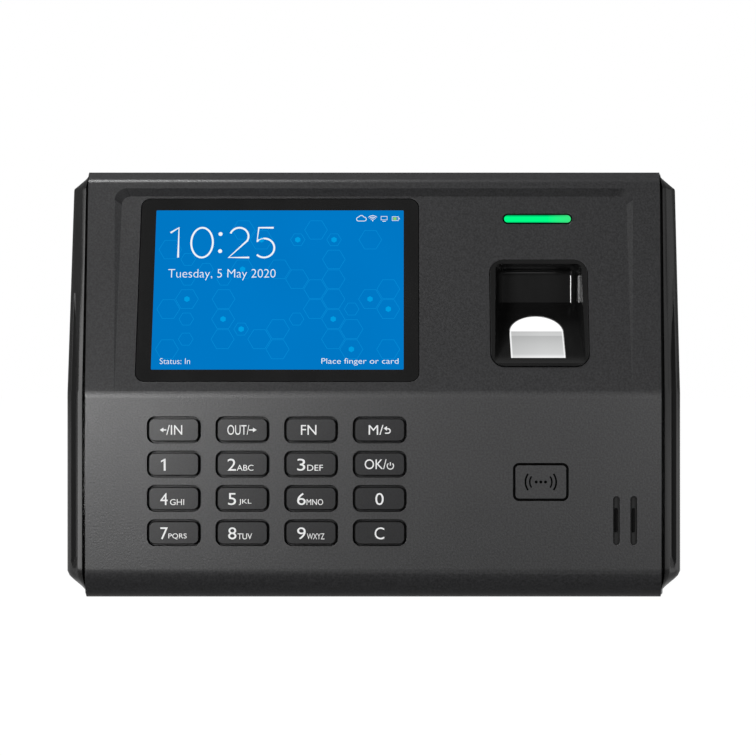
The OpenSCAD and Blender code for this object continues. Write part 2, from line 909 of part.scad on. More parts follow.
// Everything cut through or into the front cover.
module front_cuts() {
    panel_cut();
    on_panel() {
        translate([left_x, 0, glass_up]) {
            plate(glass_w + 2 * fit, glass_h + 2 * fit, glass_r + fit, -1, glass_floor);
            plate(lcd_window_w, lcd_window_h, 1, 0, panel_wall + 1);
        }
        translate([right_x, 0, light_up])
            plate(light_hole_w, light_hole_h, light_hole_h / 2, -3, panel_wall + 1);
        translate([right_x, 0, bezel_up])
            plate(bezel_w + 2 * fit, bezel_h + 2 * fit, bezel_r + fit, -3, panel_wall + 1);
    }
    at_keys()
        plate(key_hole_w, key_hole_h, key_r + key_gap, front_y - 1, inner_y + 1);
    for (sx = [-1, 1])
        translate([speaker_x + sx * slot_step / 2, 0, speaker_z]) {
            plate(slot_w, slot_l, slot_w / 2, front_y - 1, front_y + slot_d);
            plate(vent_w, vent_l, vent_w / 2, front_y - 1, inner_y + 1);
        }
    speaker_shape(fit, inner_y, inner_y + pocket_d + 1);
    at_keypad_posts()
        rod(small_d + 2 * pilot_gap, inner_y + 0.6, key_board_y + 1);
    at_retainer_posts()
        rod(small_d + 2 * pilot_gap, panel_wall - 0.4, retainer_y + 1);
    at_light_posts()
        rod(small_d + 2 * pilot_gap, panel_wall - 0.4, light_board_y + 1);
    at_bezel_screws()
        rod(small_d + 2 * pilot_gap, panel_wall - 2, panel_wall + 1);
    at_cover_screws()
        rod(screw_d + 2 * pilot_gap, screw_shelf_y - screw_in - 0.5, screw_shelf_y + 1);
    for (side = [0, 1])
        mirror([side, 0, 0])
            at_pegs()
                cross_rod(peg_d + 2 * fit, front_w / 2 - peg_hole_l, front_w / 2 + peg_hole_l);
}

// Front cover: bent shell with the sunk panel, windows, key holes and posts.
module front_cover() {
    color(case_grey)
        difference() {
            union() {
                difference() {
                    front_block();
                    front_hollow();
                }
                intersection() {
                    front_block();
                    front_posts();
                }
            }
            front_cuts();
        }
}

// Rear cover's outer block.
module rear_block() {
    corners = [[joint_y, bottom_z], [back_y, bottom_z], [back_y, top_z], [joint_y, top_z]];
    intersection() {
        side_prism(rounded(corners, [0, back_r, back_r, 0]), far);
        draft_prism(0, joint_y - 1, 1);
    }
}

// Hollow of the rear cover.
module rear_hollow() {
    head = top_z - wall;
    foot = bottom_z + wall;
    end_y = back_y - rear_wall;
    corners = [[joint_y - 1, foot], [end_y, foot], [end_y, head], [joint_y - 1, head]];
    intersection() {
        side_prism(rounded(corners, [0, 1, 1, 0]), far);
        draft_prism(wall, joint_y - 2, 1);
    }
}

// Block between two depths, drawn in by g from the outside of the case.
module rim_block(g, y0, y1) {
    intersection() {
        slab([-far, y0, bottom_z + g], [far, y1, top_z - g]);
        draft_prism(g, y0 - 1, y1 + 1);
    }
}

// Lip of the rear cover that enters the front cover, with its root on the rear wall.
module rear_lip() {
    lip_y = joint_y - lip_l;
    root_y = joint_y + wall;
    difference() {
        union() {
            rim_block(wall + fit, lip_y, root_y - 1);
            rim_block(wall / 2, joint_y, root_y);
        }
        rim_block(wall + fit + lip_t, lip_y - 1, root_y + 1);
        at_cover_screws()
            rod(screw_post_d + 2 * fit, lip_y - 1, joint_y);
    }
}

// Walls and posts added inside the rear cover.
module rear_inside() {
    half = plate_w / 2 + recess_gap;
    tab_half = tab_w / 2 + tab_room + tab_box_wall;
    tab_front_y = -plate_t - tab_l - tab_room - tab_box_wall;
    slab([-half - rear_wall, rear_in_y, -plate_down - recess_gap],
        [half + rear_wall, back_y - 1, plate_up + recess_gap + rear_wall]);
    slab([-bay_w / 2 - bay_wall, -bay_d - bay_wall, bay_low_z - bay_wall],
        [bay_w / 2 + bay_wall, back_y - 1, bay_top_z + bay_wall]);
    slab([-tab_half, tab_front_y, bottom_z + wall + fit], [tab_half, back_y - 1, bay_low_z]);
    slab([-tab_half, joint_y, bottom_z + 1], [tab_half, back_y - 1, bay_low_z]);
    at_wall_holes()
        rod(pocket_head_d + 2 * rear_wall, pocket_head_y - rear_wall, back_y - 1);
    at_cover_screws()
        rod(screw_tube_d, screw_shelf_y, back_y - 1);
    at_main_screws()
        rod(main_post_d, main_back_y, back_y - 1);
}

// Everything cut into the rear cover.
module rear_cuts() {
    half = plate_w / 2 + recess_gap;
    slab([-half, recess_y, -plate_down - recess_gap + 0.6], [half, 1, plate_up + recess_gap]);
    slab([-bay_w / 2, -bay_d, bay_low_z], [bay_w / 2, 1, bay_top_z]);
    slab([-tab_w / 2 - tab_room, -plate_t - tab_l - tab_room, tab_z - tab_room],
        [tab_w / 2 + tab_room, 1, tab_z + plate_t + 3]);
    at_wall_holes()
        rod(pocket_head_d, pocket_head_y, 1);
    at_cover_screws() {
        rod(screw_hole_d, screw_seat_y, 1);
        rod(screw_d + 2 * screw_gap, screw_shelf_y - 1, 1);
    }
    at_main_screws()
        rod(small_d + 2 * pilot_gap, main_back_y - 1, main_back_y + main_pilot_l);
    for (sx = [-1, 1])
        translate([sx * hook_x / 2, 0, hook_up])
            slab([-hook_w / 2 - 0.6, rear_in_y - 1, -hook_drop - 0.5], [hook_w / 2 + 0.6, 1, plate_t + 0.4]);
    slab([lan_x - lan_w / 2 - fit, main_back_y - 1, bay_top_z - 1],
        [lan_x + lan_w / 2 + fit, main_back_y + lan_h + fit, bay_top_z + bay_wall + 1]);
    slab([usb_x - usb_w / 2 - fit, main_back_y - 1, bay_top_z - 1],
        [usb_x + usb_w / 2 + fit, main_back_y + usb_h + fit, bay_top_z + bay_wall + 1]);
    slab([terminal_x - terminal_w / 2 - fit, main_back_y - 1, bay_top_z - 1],
        [terminal_x + terminal_w / 2 + fit, main_back_y + terminal_h + fit, bay_top_z + bay_wall + 1]);
    translate([tamper_x, 0, tamper_up_z])
        rod(plunger_d + 2 * slip, rear_in_y - 1, 1);
    translate([0, lock_y, bottom_z - 1]) {
        cylinder(d = screw_d + 2 * screw_gap, h = lock_hole_l);
        cylinder(d = head_d + 2 * screw_gap, h = lock_seat_z - bottom_z + 1);
    }
}

// Rear cover: shallow tray with the plate recess, the socket bay and the board posts.
module rear_cover() {
    color(back_black)
        difference() {
            union() {
                difference() {
                    rear_block();
                    rear_hollow();
                }
                rear_lip();
                rear_inside();
            }
            rear_cuts();
        }
}

// Glossy strip along one side, drawn for the right-hand side.
module trim_strip() {
    rings = [
        for (z = trim_zs)
            let (share = trim_share(z), base = front_at(z), foot = foot_back(z))
            [
                for (p = trim_section(z))
                    let (y = base + p.y + foot * (trim_back - p.y) / trim_d)
                    [half_w(y) + 0.05 + p.x * share * trim_reach(y), y, z]
            ]
    ];
    n = len(rings[0]);
    k = len(rings);
    points = [for (ring = rings) each ring];
    sides = [
        for (i = [0:k - 2])
            for (j = [0:n - 1])
                let (a = i * n + j, b = i * n + (j + 1) % n)
                each [[a, b + n, b], [a, a + n, b + n]]
    ];
    ends = [[for (j = [0:n - 1]) j], [for (j = [n - 1:-1:0]) (k - 1) * n + j]];
    polyhedron(points, concat(sides, ends), convexity = 6);
}

// Trim with the two pegs that hold it to the front cover.
module trim() {
    color(gloss_black) {
        trim_strip();
        at_pegs()
            cross_rod(peg_d, front_w / 2 - 2.2, front_w / 2 + 2.6);
    }
}

module side_trim_right() {
    trim();
}

module side_trim_left() {
    mirror([1, 0, 0])
        trim();
}

// Cover glass of the display, set flush in the front cover.
module display_glass() {
    color(gloss_black)
        on_panel()
            translate([left_x, 0, glass_up])
                plate(glass_w, glass_h, glass_r, glass_in, glass_floor);
}

// Display module behind the glass, with its lit field standing into the front cover's window.
module lcd_module() {
    color(screen_blue)
        on_panel()
            translate([left_x, 0, glass_up]) {
                plate(lcd_w, lcd_h, 1, lcd_y, lcd_y + lcd_t);
                plate(view_w, view_h, 0.5, glass_floor + 0.1, lcd_y + eps);
            }
}

// Frame that presses the display module against the front cover.
module lcd_retainer() {
    color(steel)
        difference() {
            on_panel()
                translate([left_x, 0, glass_up])
                    difference() {
                        plate(retainer_w, retainer_h, 2, retainer_y, retainer_y + retainer_t);
                        plate(
                            lcd_w - 2 * retainer_bar,
                            retainer_h - 2 * retainer_bar,
                            2,
                            retainer_y - 1,
                            retainer_y + retainer_t + 1
                        );
                    }
            at_retainer_posts()
                rod(small_d + 2 * screw_gap, retainer_y - 1, retainer_y + retainer_t + 1);
        }
}

// Thin section of the recess at depth y, grown by g and drawn in by inset, up to the ceiling.
module cave_section(y, inset, g) {
    half = cave_half + g + (cave_y + g - y) * tan(cave_draft) - inset;
    head = ceiling_at(y, g) - inset;
    foot = ridge_z - cave_d;
    translate([right_x, 0, (foot + head) / 2])
        plate(2 * half, head - foot, max(cave_r + g - inset, 0.1), y - eps, y, $fn = hull_fn);
}

// Finger recess with rounded inner edges, grown by g, above its ramp.
module cave(g) {
    round_r = cave_r + g;
    steps = 4;
    start = cave_front_y - 1;
    stop = cave_y + g + 1;
    intersection() {
        side_prism([[start, ramp_at(start, g)], [stop, ramp_at(stop, g)], [stop, far], [start, far]], far);
        hull() {
            cave_section(cave_front_y, 0, g);
            for (i = [0:steps])
                cave_section(
                    cave_y + g - round_r * (1 - sin(90 * i / steps)),
                    round_r * (1 - cos(90 * i / steps)),
                    g
                );
        }
    }
}

// Bezel: rim, flange and the tub of the finger recess with its ramp.
module sensor_bezel() {
    flange_top = bezel_up + bezel_h / 2 + bezel_flange / 2;
    color(gloss_black)
        difference() {
            union() {
                on_panel() {
                    translate([right_x, 0, bezel_up])
                        plate(bezel_w, bezel_h, bezel_r, -bezel_proud, bezel_flange_y + eps);
                    translate([right_x, 0, (bezel_flange_low + flange_top) / 2])
                        plate(
                            bezel_w + 2 * bezel_flange,
                            flange_top - bezel_flange_low,
                            2,
                            bezel_flange_y,
                            bezel_flange_y + bezel_flange_t
                        );
                }
                intersection() {
                    cave(tub_wall);
                    on_panel()
                        slab([0, bezel_flange_y, bezel_up - bezel_h / 2], [far, far, far]);
                }
            }
            cave(0);
            on_ramp()
                translate([0, 0, -tub_wall - 2])
                    linear_extrude(tub_wall + 4)
                        arch(0);
            at_bezel_screws()
                rod(small_d + 2 * screw_gap, bezel_flange_y - 1, bezel_flange_y + bezel_flange_t + 1);
        }
}

// Arch-topped window that the finger lies on.
module sensor_window() {
    color(window_white)
        on_ramp()
            translate([0, 0, -window_in - window_t])
                linear_extrude(window_t)
                    arch(0.1);
}

// Optical module under the ramp.
module sensor_module() {
    color(chip_black)
        on_ramp()
            slab([-module_w / 2, module_low, -window_in - window_t - module_t],
                [module_w / 2, module_low + module_l, -max(module_top, window_in + window_t)]);
}

// Light pipe of the status bar.
module status_light_pipe() {
    color(light_green)
        on_panel()
            translate([right_x, 0, light_up]) {
                plate(light_w, light_h, light_h / 2, -0.2, light_foot_y + eps);
                plate(
                    light_w + 2 * light_flange,
                    light_h + 2 * light_flange,
                    light_h / 2,
                    light_foot_y,
                    light_foot_y + light_flange_t
                );
            }
}

// Light sources behind the light pipe.
module status_leds() {
    led_w = 3;
    led_h = 1.5;
    color(window_white)
        on_panel()
            for (i = [-1:1])
                translate([right_x + i * light_w / 3, 0, light_up])
                    plate(led_w, led_h, 0.2, led_y, light_board_y);
}

// Board that carries the light sources.
module status_light_board() {
    color(board_green)
        difference() {
            on_panel()
                translate([right_x, 0, light_up])
                    plate(light_board_w, light_board_h, 1, light_board_y, light_board_y + light_board_t);
            at_light_posts()
                rod(small_d + 2 * screw_gap, light_board_y - 1, light_board_y + light_board_t + 1);
        }
}

// One key: cap, flange and stem.
module key(row, col) {
    color(key_grey)
        translate([key_x(col), 0, key_z(row)]) {
            plate(key_w, key_h, key_r, front_y - key_proud, flange_y + eps);
            plate(
                key_hole_w + 2 * flange_w,
                key_hole_h + 2 * flange_w,
                key_r + key_gap,
                flange_y,
                flange_y + flange_t
            );
            rod(stem_d, flange_y + flange_t - eps, stem_end_y);
        }
}

// Board under the keys.
module keypad_board() {
    color(board_green)
        difference() {
            translate([left_x, 0, keypad_z])
                plate(key_board_w, key_board_h, key_board_r, key_board_y, key_board_y + board_t);
            at_keypad_posts()
                rod(small_d + 2 * screw_gap, key_board_y - 1, key_board_y + board_t + 1);
        }
}

// Switch bodies on the keypad board, one under each key.
module key_switches() {
    color(chip_black)
        at_keys()
            difference() {
                plate(switch_w, switch_w, 0.5, switch_y, key_board_y);
                rod(switch_bore_d, switch_y - 1, switch_bore_y);
            }
}

// Main board, wider below the sensor.
module main_board() {
    color(board_green)
        difference() {
            union() {
                slab([-main_left, main_front_y, main_low_z], [main_right, main_back_y, main_top_z]);
                slab([-main_left, main_front_y, main_low_z], [main_foot, main_back_y, main_step_z]);
            }
            at_main_screws()
                rod(small_d + 2 * screw_gap, main_front_y - 1, main_back_y + 1);
        }
}

// Chips on the main board's front.
module main_chips() {
    color(chip_black)
        for (c = chips)
            translate([c[0], 0, ridge_z + c[1]])
                plate(c[2], c[3], 0.4, main_front_y - c[4], main_front_y);
}

// Holder of the clock cell.
module cell_holder() {
    color(chip_black)
        translate([cell_x, 0, cell_z])
            difference() {
                rod(cell_d + 2 * holder_wall + 2 * fit, main_front_y - 1 - cell_t, main_front_y);
                rod(cell_d + 2 * fit, main_front_y - 2 - cell_t, main_front_y - 1);
            }
}

// Clock cell in its holder.
module clock_cell() {
    color(steel)
        translate([cell_x, 0, cell_z])
            rod(cell_d, main_front_y - 1 - cell_t, main_front_y - 1);
}

// Network socket, with its mouth down into the bay.
module lan_socket() {
    color(steel)
        difference() {
            slab([lan_x - lan_w / 2, main_back_y, socket_z],
                [lan_x + lan_w / 2, main_back_y + lan_h, socket_z + lan_l]);
            slab([lan_x - lan_mouth_w / 2, lan_mouth_y, socket_z - 1],
                [lan_x + lan_mouth_w / 2, lan_mouth_y + lan_mouth_h, socket_z + lan_mouth_d]);
            slab([lan_x - lan_mouth_w / 4, lan_mouth_y + lan_mouth_h - eps, socket_z - 1],
                [lan_x + lan_mouth_w / 4, lan_mouth_y + lan_mouth_h + 1.6, socket_z + 6]);
        }
}

// Data socket, with a tongue inside its shell.
module usb_socket() {
    mouth_y = main_back_y + mouth_step;
    color(steel)
        difference() {
            slab([usb_x - usb_w / 2, main_back_y, socket_z],
                [usb_x + usb_w / 2, main_back_y + usb_h, socket_z + usb_l]);
            difference() {
                slab([usb_x - usb_w / 2 + 1, mouth_y, socket_z - 1],
                    [usb_x + usb_w / 2 - 1, main_back_y + usb_h - usb_shell, socket_z + usb_mouth_d]);
                slab([usb_x - usb_w / 2 + 1.6, mouth_y + 0.6, socket_z + 0.8],
                    [usb_x + usb_w / 2 - 1.6, mouth_y + 0.6 + usb_tongue_t, socket_z + usb_l]);
            }
        }
}

// Wiring terminals: wires enter from below and screws face the wall.
module wiring_terminals() {
    pitch = terminal_w / terminal_ways;
    entry = 0.56 * pitch;
    color(terminal_green)
        difference() {
            slab([terminal_x - terminal_w / 2, main_back_y, socket_z],
                [terminal_x + terminal_w / 2, main_back_y + terminal_h, socket_z + terminal_l]);
            for (i = [0:terminal_ways - 1])
                translate([terminal_x + (i - (terminal_ways - 1) / 2) * pitch, 0, 0])
                    slab([-entry / 2, main_back_y + mouth_step, socket_z - 1],
                        [entry / 2, main_back_y + mouth_step + entry, socket_z + 0.7 * terminal_l]);
        }
}

// Tamper switch on the main board's back.
module tamper_switch() {
    bore_y = tamper_end_y - plunger_in - plunger_travel - 1;
    color(chip_black)
        translate([tamper_x, 0, tamper_up_z])
            difference() {
                plate(tamper_w, tamper_w, 0.5, main_back_y, tamper_end_y);
                rod(plunger_d + 2 * slip, bore_y, tamper_end_y + 1);
            }
}

// Plunger that the wall plate holds in.
module tamper_plunger() {
    color(window_white)
        translate([tamper_x, 0, tamper_up_z])
            rod(plunger_d, tamper_end_y - plunger_in, -plate_t - plunger_gap);
}

// Speaker in its pocket: basket, magnet and front rim.
module speaker() {
    magnet_w = 0.62 * speaker_w;
    color(chip_black) {
        speaker_shape(0, speaker_y, speaker_y + 0.55 * speaker_t);
        translate([speaker_x, 0, speaker_z])
            rod(magnet_w, speaker_y + 0.5 * speaker_t, speaker_y + speaker_t);
    }
}

// Antenna board behind the card mark.
module card_antenna() {
    color(board_green)
        translate([right_x, 0, ridge_z - card_down])
            plate(antenna_w, antenna_h, 2, inner_y, inner_y + antenna_t);
}

// Flat ribbon over width w about x, along a side view path.
module ribbon(x, w, path) {
    ribbon_t = 0.3;
    bend_r = 1.5;
    color(ribbon_white)
        translate([x, 0, 0])
            side_prism(strip(soft_path(path, bend_r), ribbon_t), w);
}

// Sockets for the ribbons, on the main board and on the keypad board's back.
socket_t = 2;
socket_h = 3;
display_socket_down = 1;
keypad_socket_down = 17;
sensor_socket_down = 12;
display_socket_z = ridge_z - display_socket_down;
keypad_socket_z = ridge_z - keypad_socket_down;
sensor_socket_z = ridge_z - sensor_socket_down;
keypad_plug_z = keypad_z + 1.5 * key_step_z;
key_back_y = key_board_y + board_t;
display_ribbon_w = 25;
display_ribbon_out = 3.4;
keypad_ribbon_in = 18;
keypad_ribbon_x = left_x + keypad_ribbon_in;
keypad_ribbon_w = 14;
sensor_ribbon_in = 9;
sensor_ribbon_x = right_x - sensor_ribbon_in;
sensor_ribbon_w = 6;

module ribbon_socket(x, w, y0, z) {
    translate([x, 0, z])
        plate(w, socket_h, 0.3, y0, y0 + socket_t);
}

module ribbon_sockets() {
    front = main_front_y - socket_t;
    color(ribbon_white) {
        ribbon_socket(left_x, display_ribbon_w + 2, front, display_socket_z);
        ribbon_socket(keypad_ribbon_x, keypad_ribbon_w + 2, front, keypad_socket_z);
        ribbon_socket(sensor_ribbon_x, sensor_ribbon_w + 2, front, sensor_socket_z);
        ribbon_socket(keypad_ribbon_x, keypad_ribbon_w + 2, key_back_y, keypad_plug_z);
    }
}

// Ribbon from the display module's foot to the main board.
module display_ribbon() {
    foot = glass_up - lcd_h / 2 + 1.5;
    back = lcd_y + lcd_t;
    start_y = front_y + foot * sin(panel_tilt) + back * cos(panel_tilt) + 0.1;
    start_z = ridge_z + foot * cos(panel_tilt) - back * sin(panel_tilt);
    ribbon(left_x, display_ribbon_w, [
        [start_y, start_z],
        [start_y + display_ribbon_out, display_socket_z],
        [main_front_y - socket_t, display_socket_z]
    ]);
}

// Ribbon from the keypad board to the main board.
module keypad_ribbon() {
    mid = (key_back_y + socket_t + main_front_y - socket_t) / 2;
    ribbon(keypad_ribbon_x, keypad_ribbon_w, [
        [key_back_y + socket_t, keypad_plug_z],
        [mid, keypad_plug_z],
        [mid, keypad_socket_z],
        [main_front_y - socket_t, keypad_socket_z]
    ]);
}

// Ribbon from the optical module to the main board.
module sensor_ribbon() {
    along = 3.2;
    under = window_in + window_t + module_t + 0.1;
    start_y = ramp_y + along * cos(ramp_a) + under * sin(ramp_a);
    start_z = ramp_z + along * sin(ramp_a) - under * cos(ramp_a);
    ribbon(sensor_ribbon_x, sensor_ribbon_w, [
        [start_y, start_z],
        [start_y, sensor_socket_z],
        [main_front_y - socket_t, sensor_socket_z]
    ]);
}

// Wall plate with its holes, hooks and bent tab.
module wall_plate() {
    tall = plate_up + plate_down;
    color(steel)
        difference() {
            union() {
                translate([0, 0, (plate_up - plate_down) / 2])
                    plate(plate_w, tall, plate_r, -plate_t, 0);
                slab([-tab_w / 2, -plate_t - tab_l, tab_z], [tab_w / 2, 0, tab_z + plate_t]);
                for (sx = [-1, 1])
                    translate([sx * hook_x / 2, 0, hook_up]) {
                        slab([-hook_w / 2, hook_lip_y, 0], [hook_w / 2, -eps, plate_t]);
                        slab([-hook_w / 2, hook_lip_y, 0], [hook_w / 2, hook_lip_y + plate_t, hook_lip_h]);
                    }
            }
            at_wall_holes()
                rod(hole_d, -plate_t - 1, 1);
            translate([0, 0, (bay_top_z + bay_low_z) / 2])
                plate(cable_w, cable_h, 3, -plate_t - 1, 1);
            translate([0, lock_y, tab_z - 1])
                cylinder(d = screw_d + 2 * pilot_gap, h = plate_t + 2);
        }
}

// Screw that locks the case to the wall plate's tab, from below.
module lock_screw() {
    color(steel)
        translate([0, lock_y, lock_seat_z])
            rotate([-90, 0, 0])
                screw(screw_d, lock_len, head_d, head_h);
}

// Screws that join the covers, from the back.
module cover_screws() {
    color(steel)
        at_cover_screws()
            translate([0, screw_seat_y, 0])
                screw(screw_d, screw_shelf_t + screw_in, head_d, head_h);
}

// Screws of the display retainer, the light board and the bezel.
module panel_screws() {
    short = 3.2;
    color(steel) {
        at_retainer_posts()
            translate([0, retainer_y + retainer_t, 0])
                screw(small_d, retainer_t + short, small_head_d, small_head_h);
        at_light_posts()
            translate([0, light_board_y + light_board_t, 0])
                screw(small_d, light_board_t + short - 0.6, small_head_d, small_head_h);
        at_bezel_screws()
            translate([0, bezel_flange_y + bezel_flange_t, 0])
                screw(small_d, bezel_flange_t + 1.6, small_head_d, small_head_h);
    }
}

// Screws of the keypad board.
module keypad_screws() {
    color(steel)
        at_keypad_posts()
            translate([0, key_board_y + board_t, 0])
                screw(small_d, board_t + keypad_screw_in, small_head_d, small_head_h);
}

// Screws of the main board, driven from its front.
module main_screws() {
    color(steel)
        at_main_screws()
            translate([0, main_front_y, 0])
                rotate([0, 0, 180])
                    screw(small_d, board_t + main_screw_in, small_head_d, small_head_h);
}

front_cover();
rear_cover();
side_trim_left();
side_trim_right();
display_glass();
lcd_module();
lcd_retainer();
sensor_bezel();
sensor_window();
sensor_module();
status_light_pipe();
status_leds();
status_light_board();
keypad_board();
key_switches();
main_board();
main_chips();
cell_holder();
clock_cell();
lan_socket();
usb_socket();
wiring_terminals();
tamper_switch();
tamper_plunger();
speaker();
card_antenna();
ribbon_sockets();
display_ribbon();
keypad_ribbon();
sensor_ribbon();
wall_plate();
lock_screw();
cover_screws();
panel_screws();
keypad_screws();
main_screws();
for (row = [0:key_rows - 1])
    for (col = [0:key_cols - 1])
        key(row, col);
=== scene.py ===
"""Looks of the fingerprint scanner terminal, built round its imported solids.

Sizes and places are in millimetres where nothing else is said.
"""

import json
import logging
import math
import random
from dataclasses import dataclass, field
from enum import Enum, auto
from functools import cache
from typing import Callable, Sequence

import bmesh
import bpy
from mathutils import Matrix, Vector
from mathutils.bvhtree import BVHTree
from mathutils.geometry import intersect_point_line


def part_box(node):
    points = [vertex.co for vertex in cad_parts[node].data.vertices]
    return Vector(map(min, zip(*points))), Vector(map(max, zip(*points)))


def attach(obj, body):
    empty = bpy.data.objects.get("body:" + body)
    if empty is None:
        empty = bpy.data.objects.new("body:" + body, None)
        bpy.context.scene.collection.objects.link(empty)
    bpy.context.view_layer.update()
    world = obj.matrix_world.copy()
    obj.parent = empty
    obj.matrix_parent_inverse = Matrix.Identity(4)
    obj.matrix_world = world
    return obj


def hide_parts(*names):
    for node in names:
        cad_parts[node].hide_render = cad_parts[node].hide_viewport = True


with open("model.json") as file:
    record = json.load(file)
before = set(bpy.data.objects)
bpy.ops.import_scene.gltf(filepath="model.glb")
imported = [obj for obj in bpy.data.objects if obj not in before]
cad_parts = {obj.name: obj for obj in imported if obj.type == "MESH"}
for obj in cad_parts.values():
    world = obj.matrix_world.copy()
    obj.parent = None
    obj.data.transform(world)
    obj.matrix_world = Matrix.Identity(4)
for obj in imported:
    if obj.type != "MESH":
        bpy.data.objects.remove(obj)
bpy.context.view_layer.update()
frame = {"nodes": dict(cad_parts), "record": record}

Object = bpy.types.Object
Material = bpy.types.Material
Socket = bpy.types.NodeSocket
Point = tuple[float, float]
Triple = tuple[float, float, float]
Test = Callable[[Vector, Vector], bool]

LOG = logging.getLogger("terminal")
MM = 0.001
QUARTER = math.radians(90)
BLACK: Triple = (0.0, 0.0, 0.0)
PAPER: Triple = (1.0, 1.0, 1.0)

CASE_BODY = "terminal"
# The lower panel's depth, and the sunk panel's foot and lean in degrees.
FRONT, PANEL_FOOT, PANEL_LEAN = -40, -3.2, 17.3
# Half the thickness of print.
PRINT_DEPTH = 0.012
# Narrowest and widest letters, as shares of their natural width.
NARROWEST, WIDEST = 0.6, 1.35
# Half an arrow head's height, as a share of its length.
BARB_SHARE = 0.62
# Most of a noise pattern lies between these values.
NOISE_LOW, NOISE_HIGH = 0.3, 0.7
# The mix node's sockets for colours.
MIX_FIRST, MIX_SECOND, MIX_RESULT = 6, 7, 2
# A normal's part along the depth is below this on a front face.
ON_FACE = -0.98
# Steps of a rounded edge, and the share of its width that it has in a hollow.
ROUND_STEPS, HOLLOW_SHARE = 3, 0.2
# A round may stand off its shape by this share of its width and this slack.
OFF_SHARE, OFF_SLACK = 0.6, 0.01
# Edges within this many widths of a fault stay sharp.
NEAR_WIDTHS = 2.5
# A triangle's normal that agrees less than this with the shape's faces the wrong way.
TURNED_AWAY = -0.2
# Corners closer than this are one, and faces within this many degrees are flush.
WELD, FLUSH = 0.004, 0.4
# A corner's normal that agrees less than this with its face's is set flat.
FLAT_ENOUGH = math.cos(math.radians(22))


def linear(*levels: int) -> Triple:
    """Turn a screen colour's levels of 0 to 255 into the linear colour that shaders use."""
    shares = [level / 255 for level in levels]
    return tuple(s / 12.92 if s <= 0.04045 else ((s + 0.055) / 1.055) ** 2.4 for s in shares)


def shade(colour: Triple, factor: float, lift: float = 0.0) -> Triple:
    """Scale a colour and lift it a little."""
    return tuple(c * factor + lift for c in colour)


class Plane(Enum):
    """The faces that pieces are laid on, each with x to the right and z up along the face."""

    CASE = Matrix.Identity(4)
    LOWER = Matrix.Translation((0, FRONT * MM, 0))
    PANEL = (Matrix.Translation((0, FRONT * MM, PANEL_FOOT * MM))
             @ Matrix.Rotation(math.radians(-PANEL_LEAN), 4, "X"))


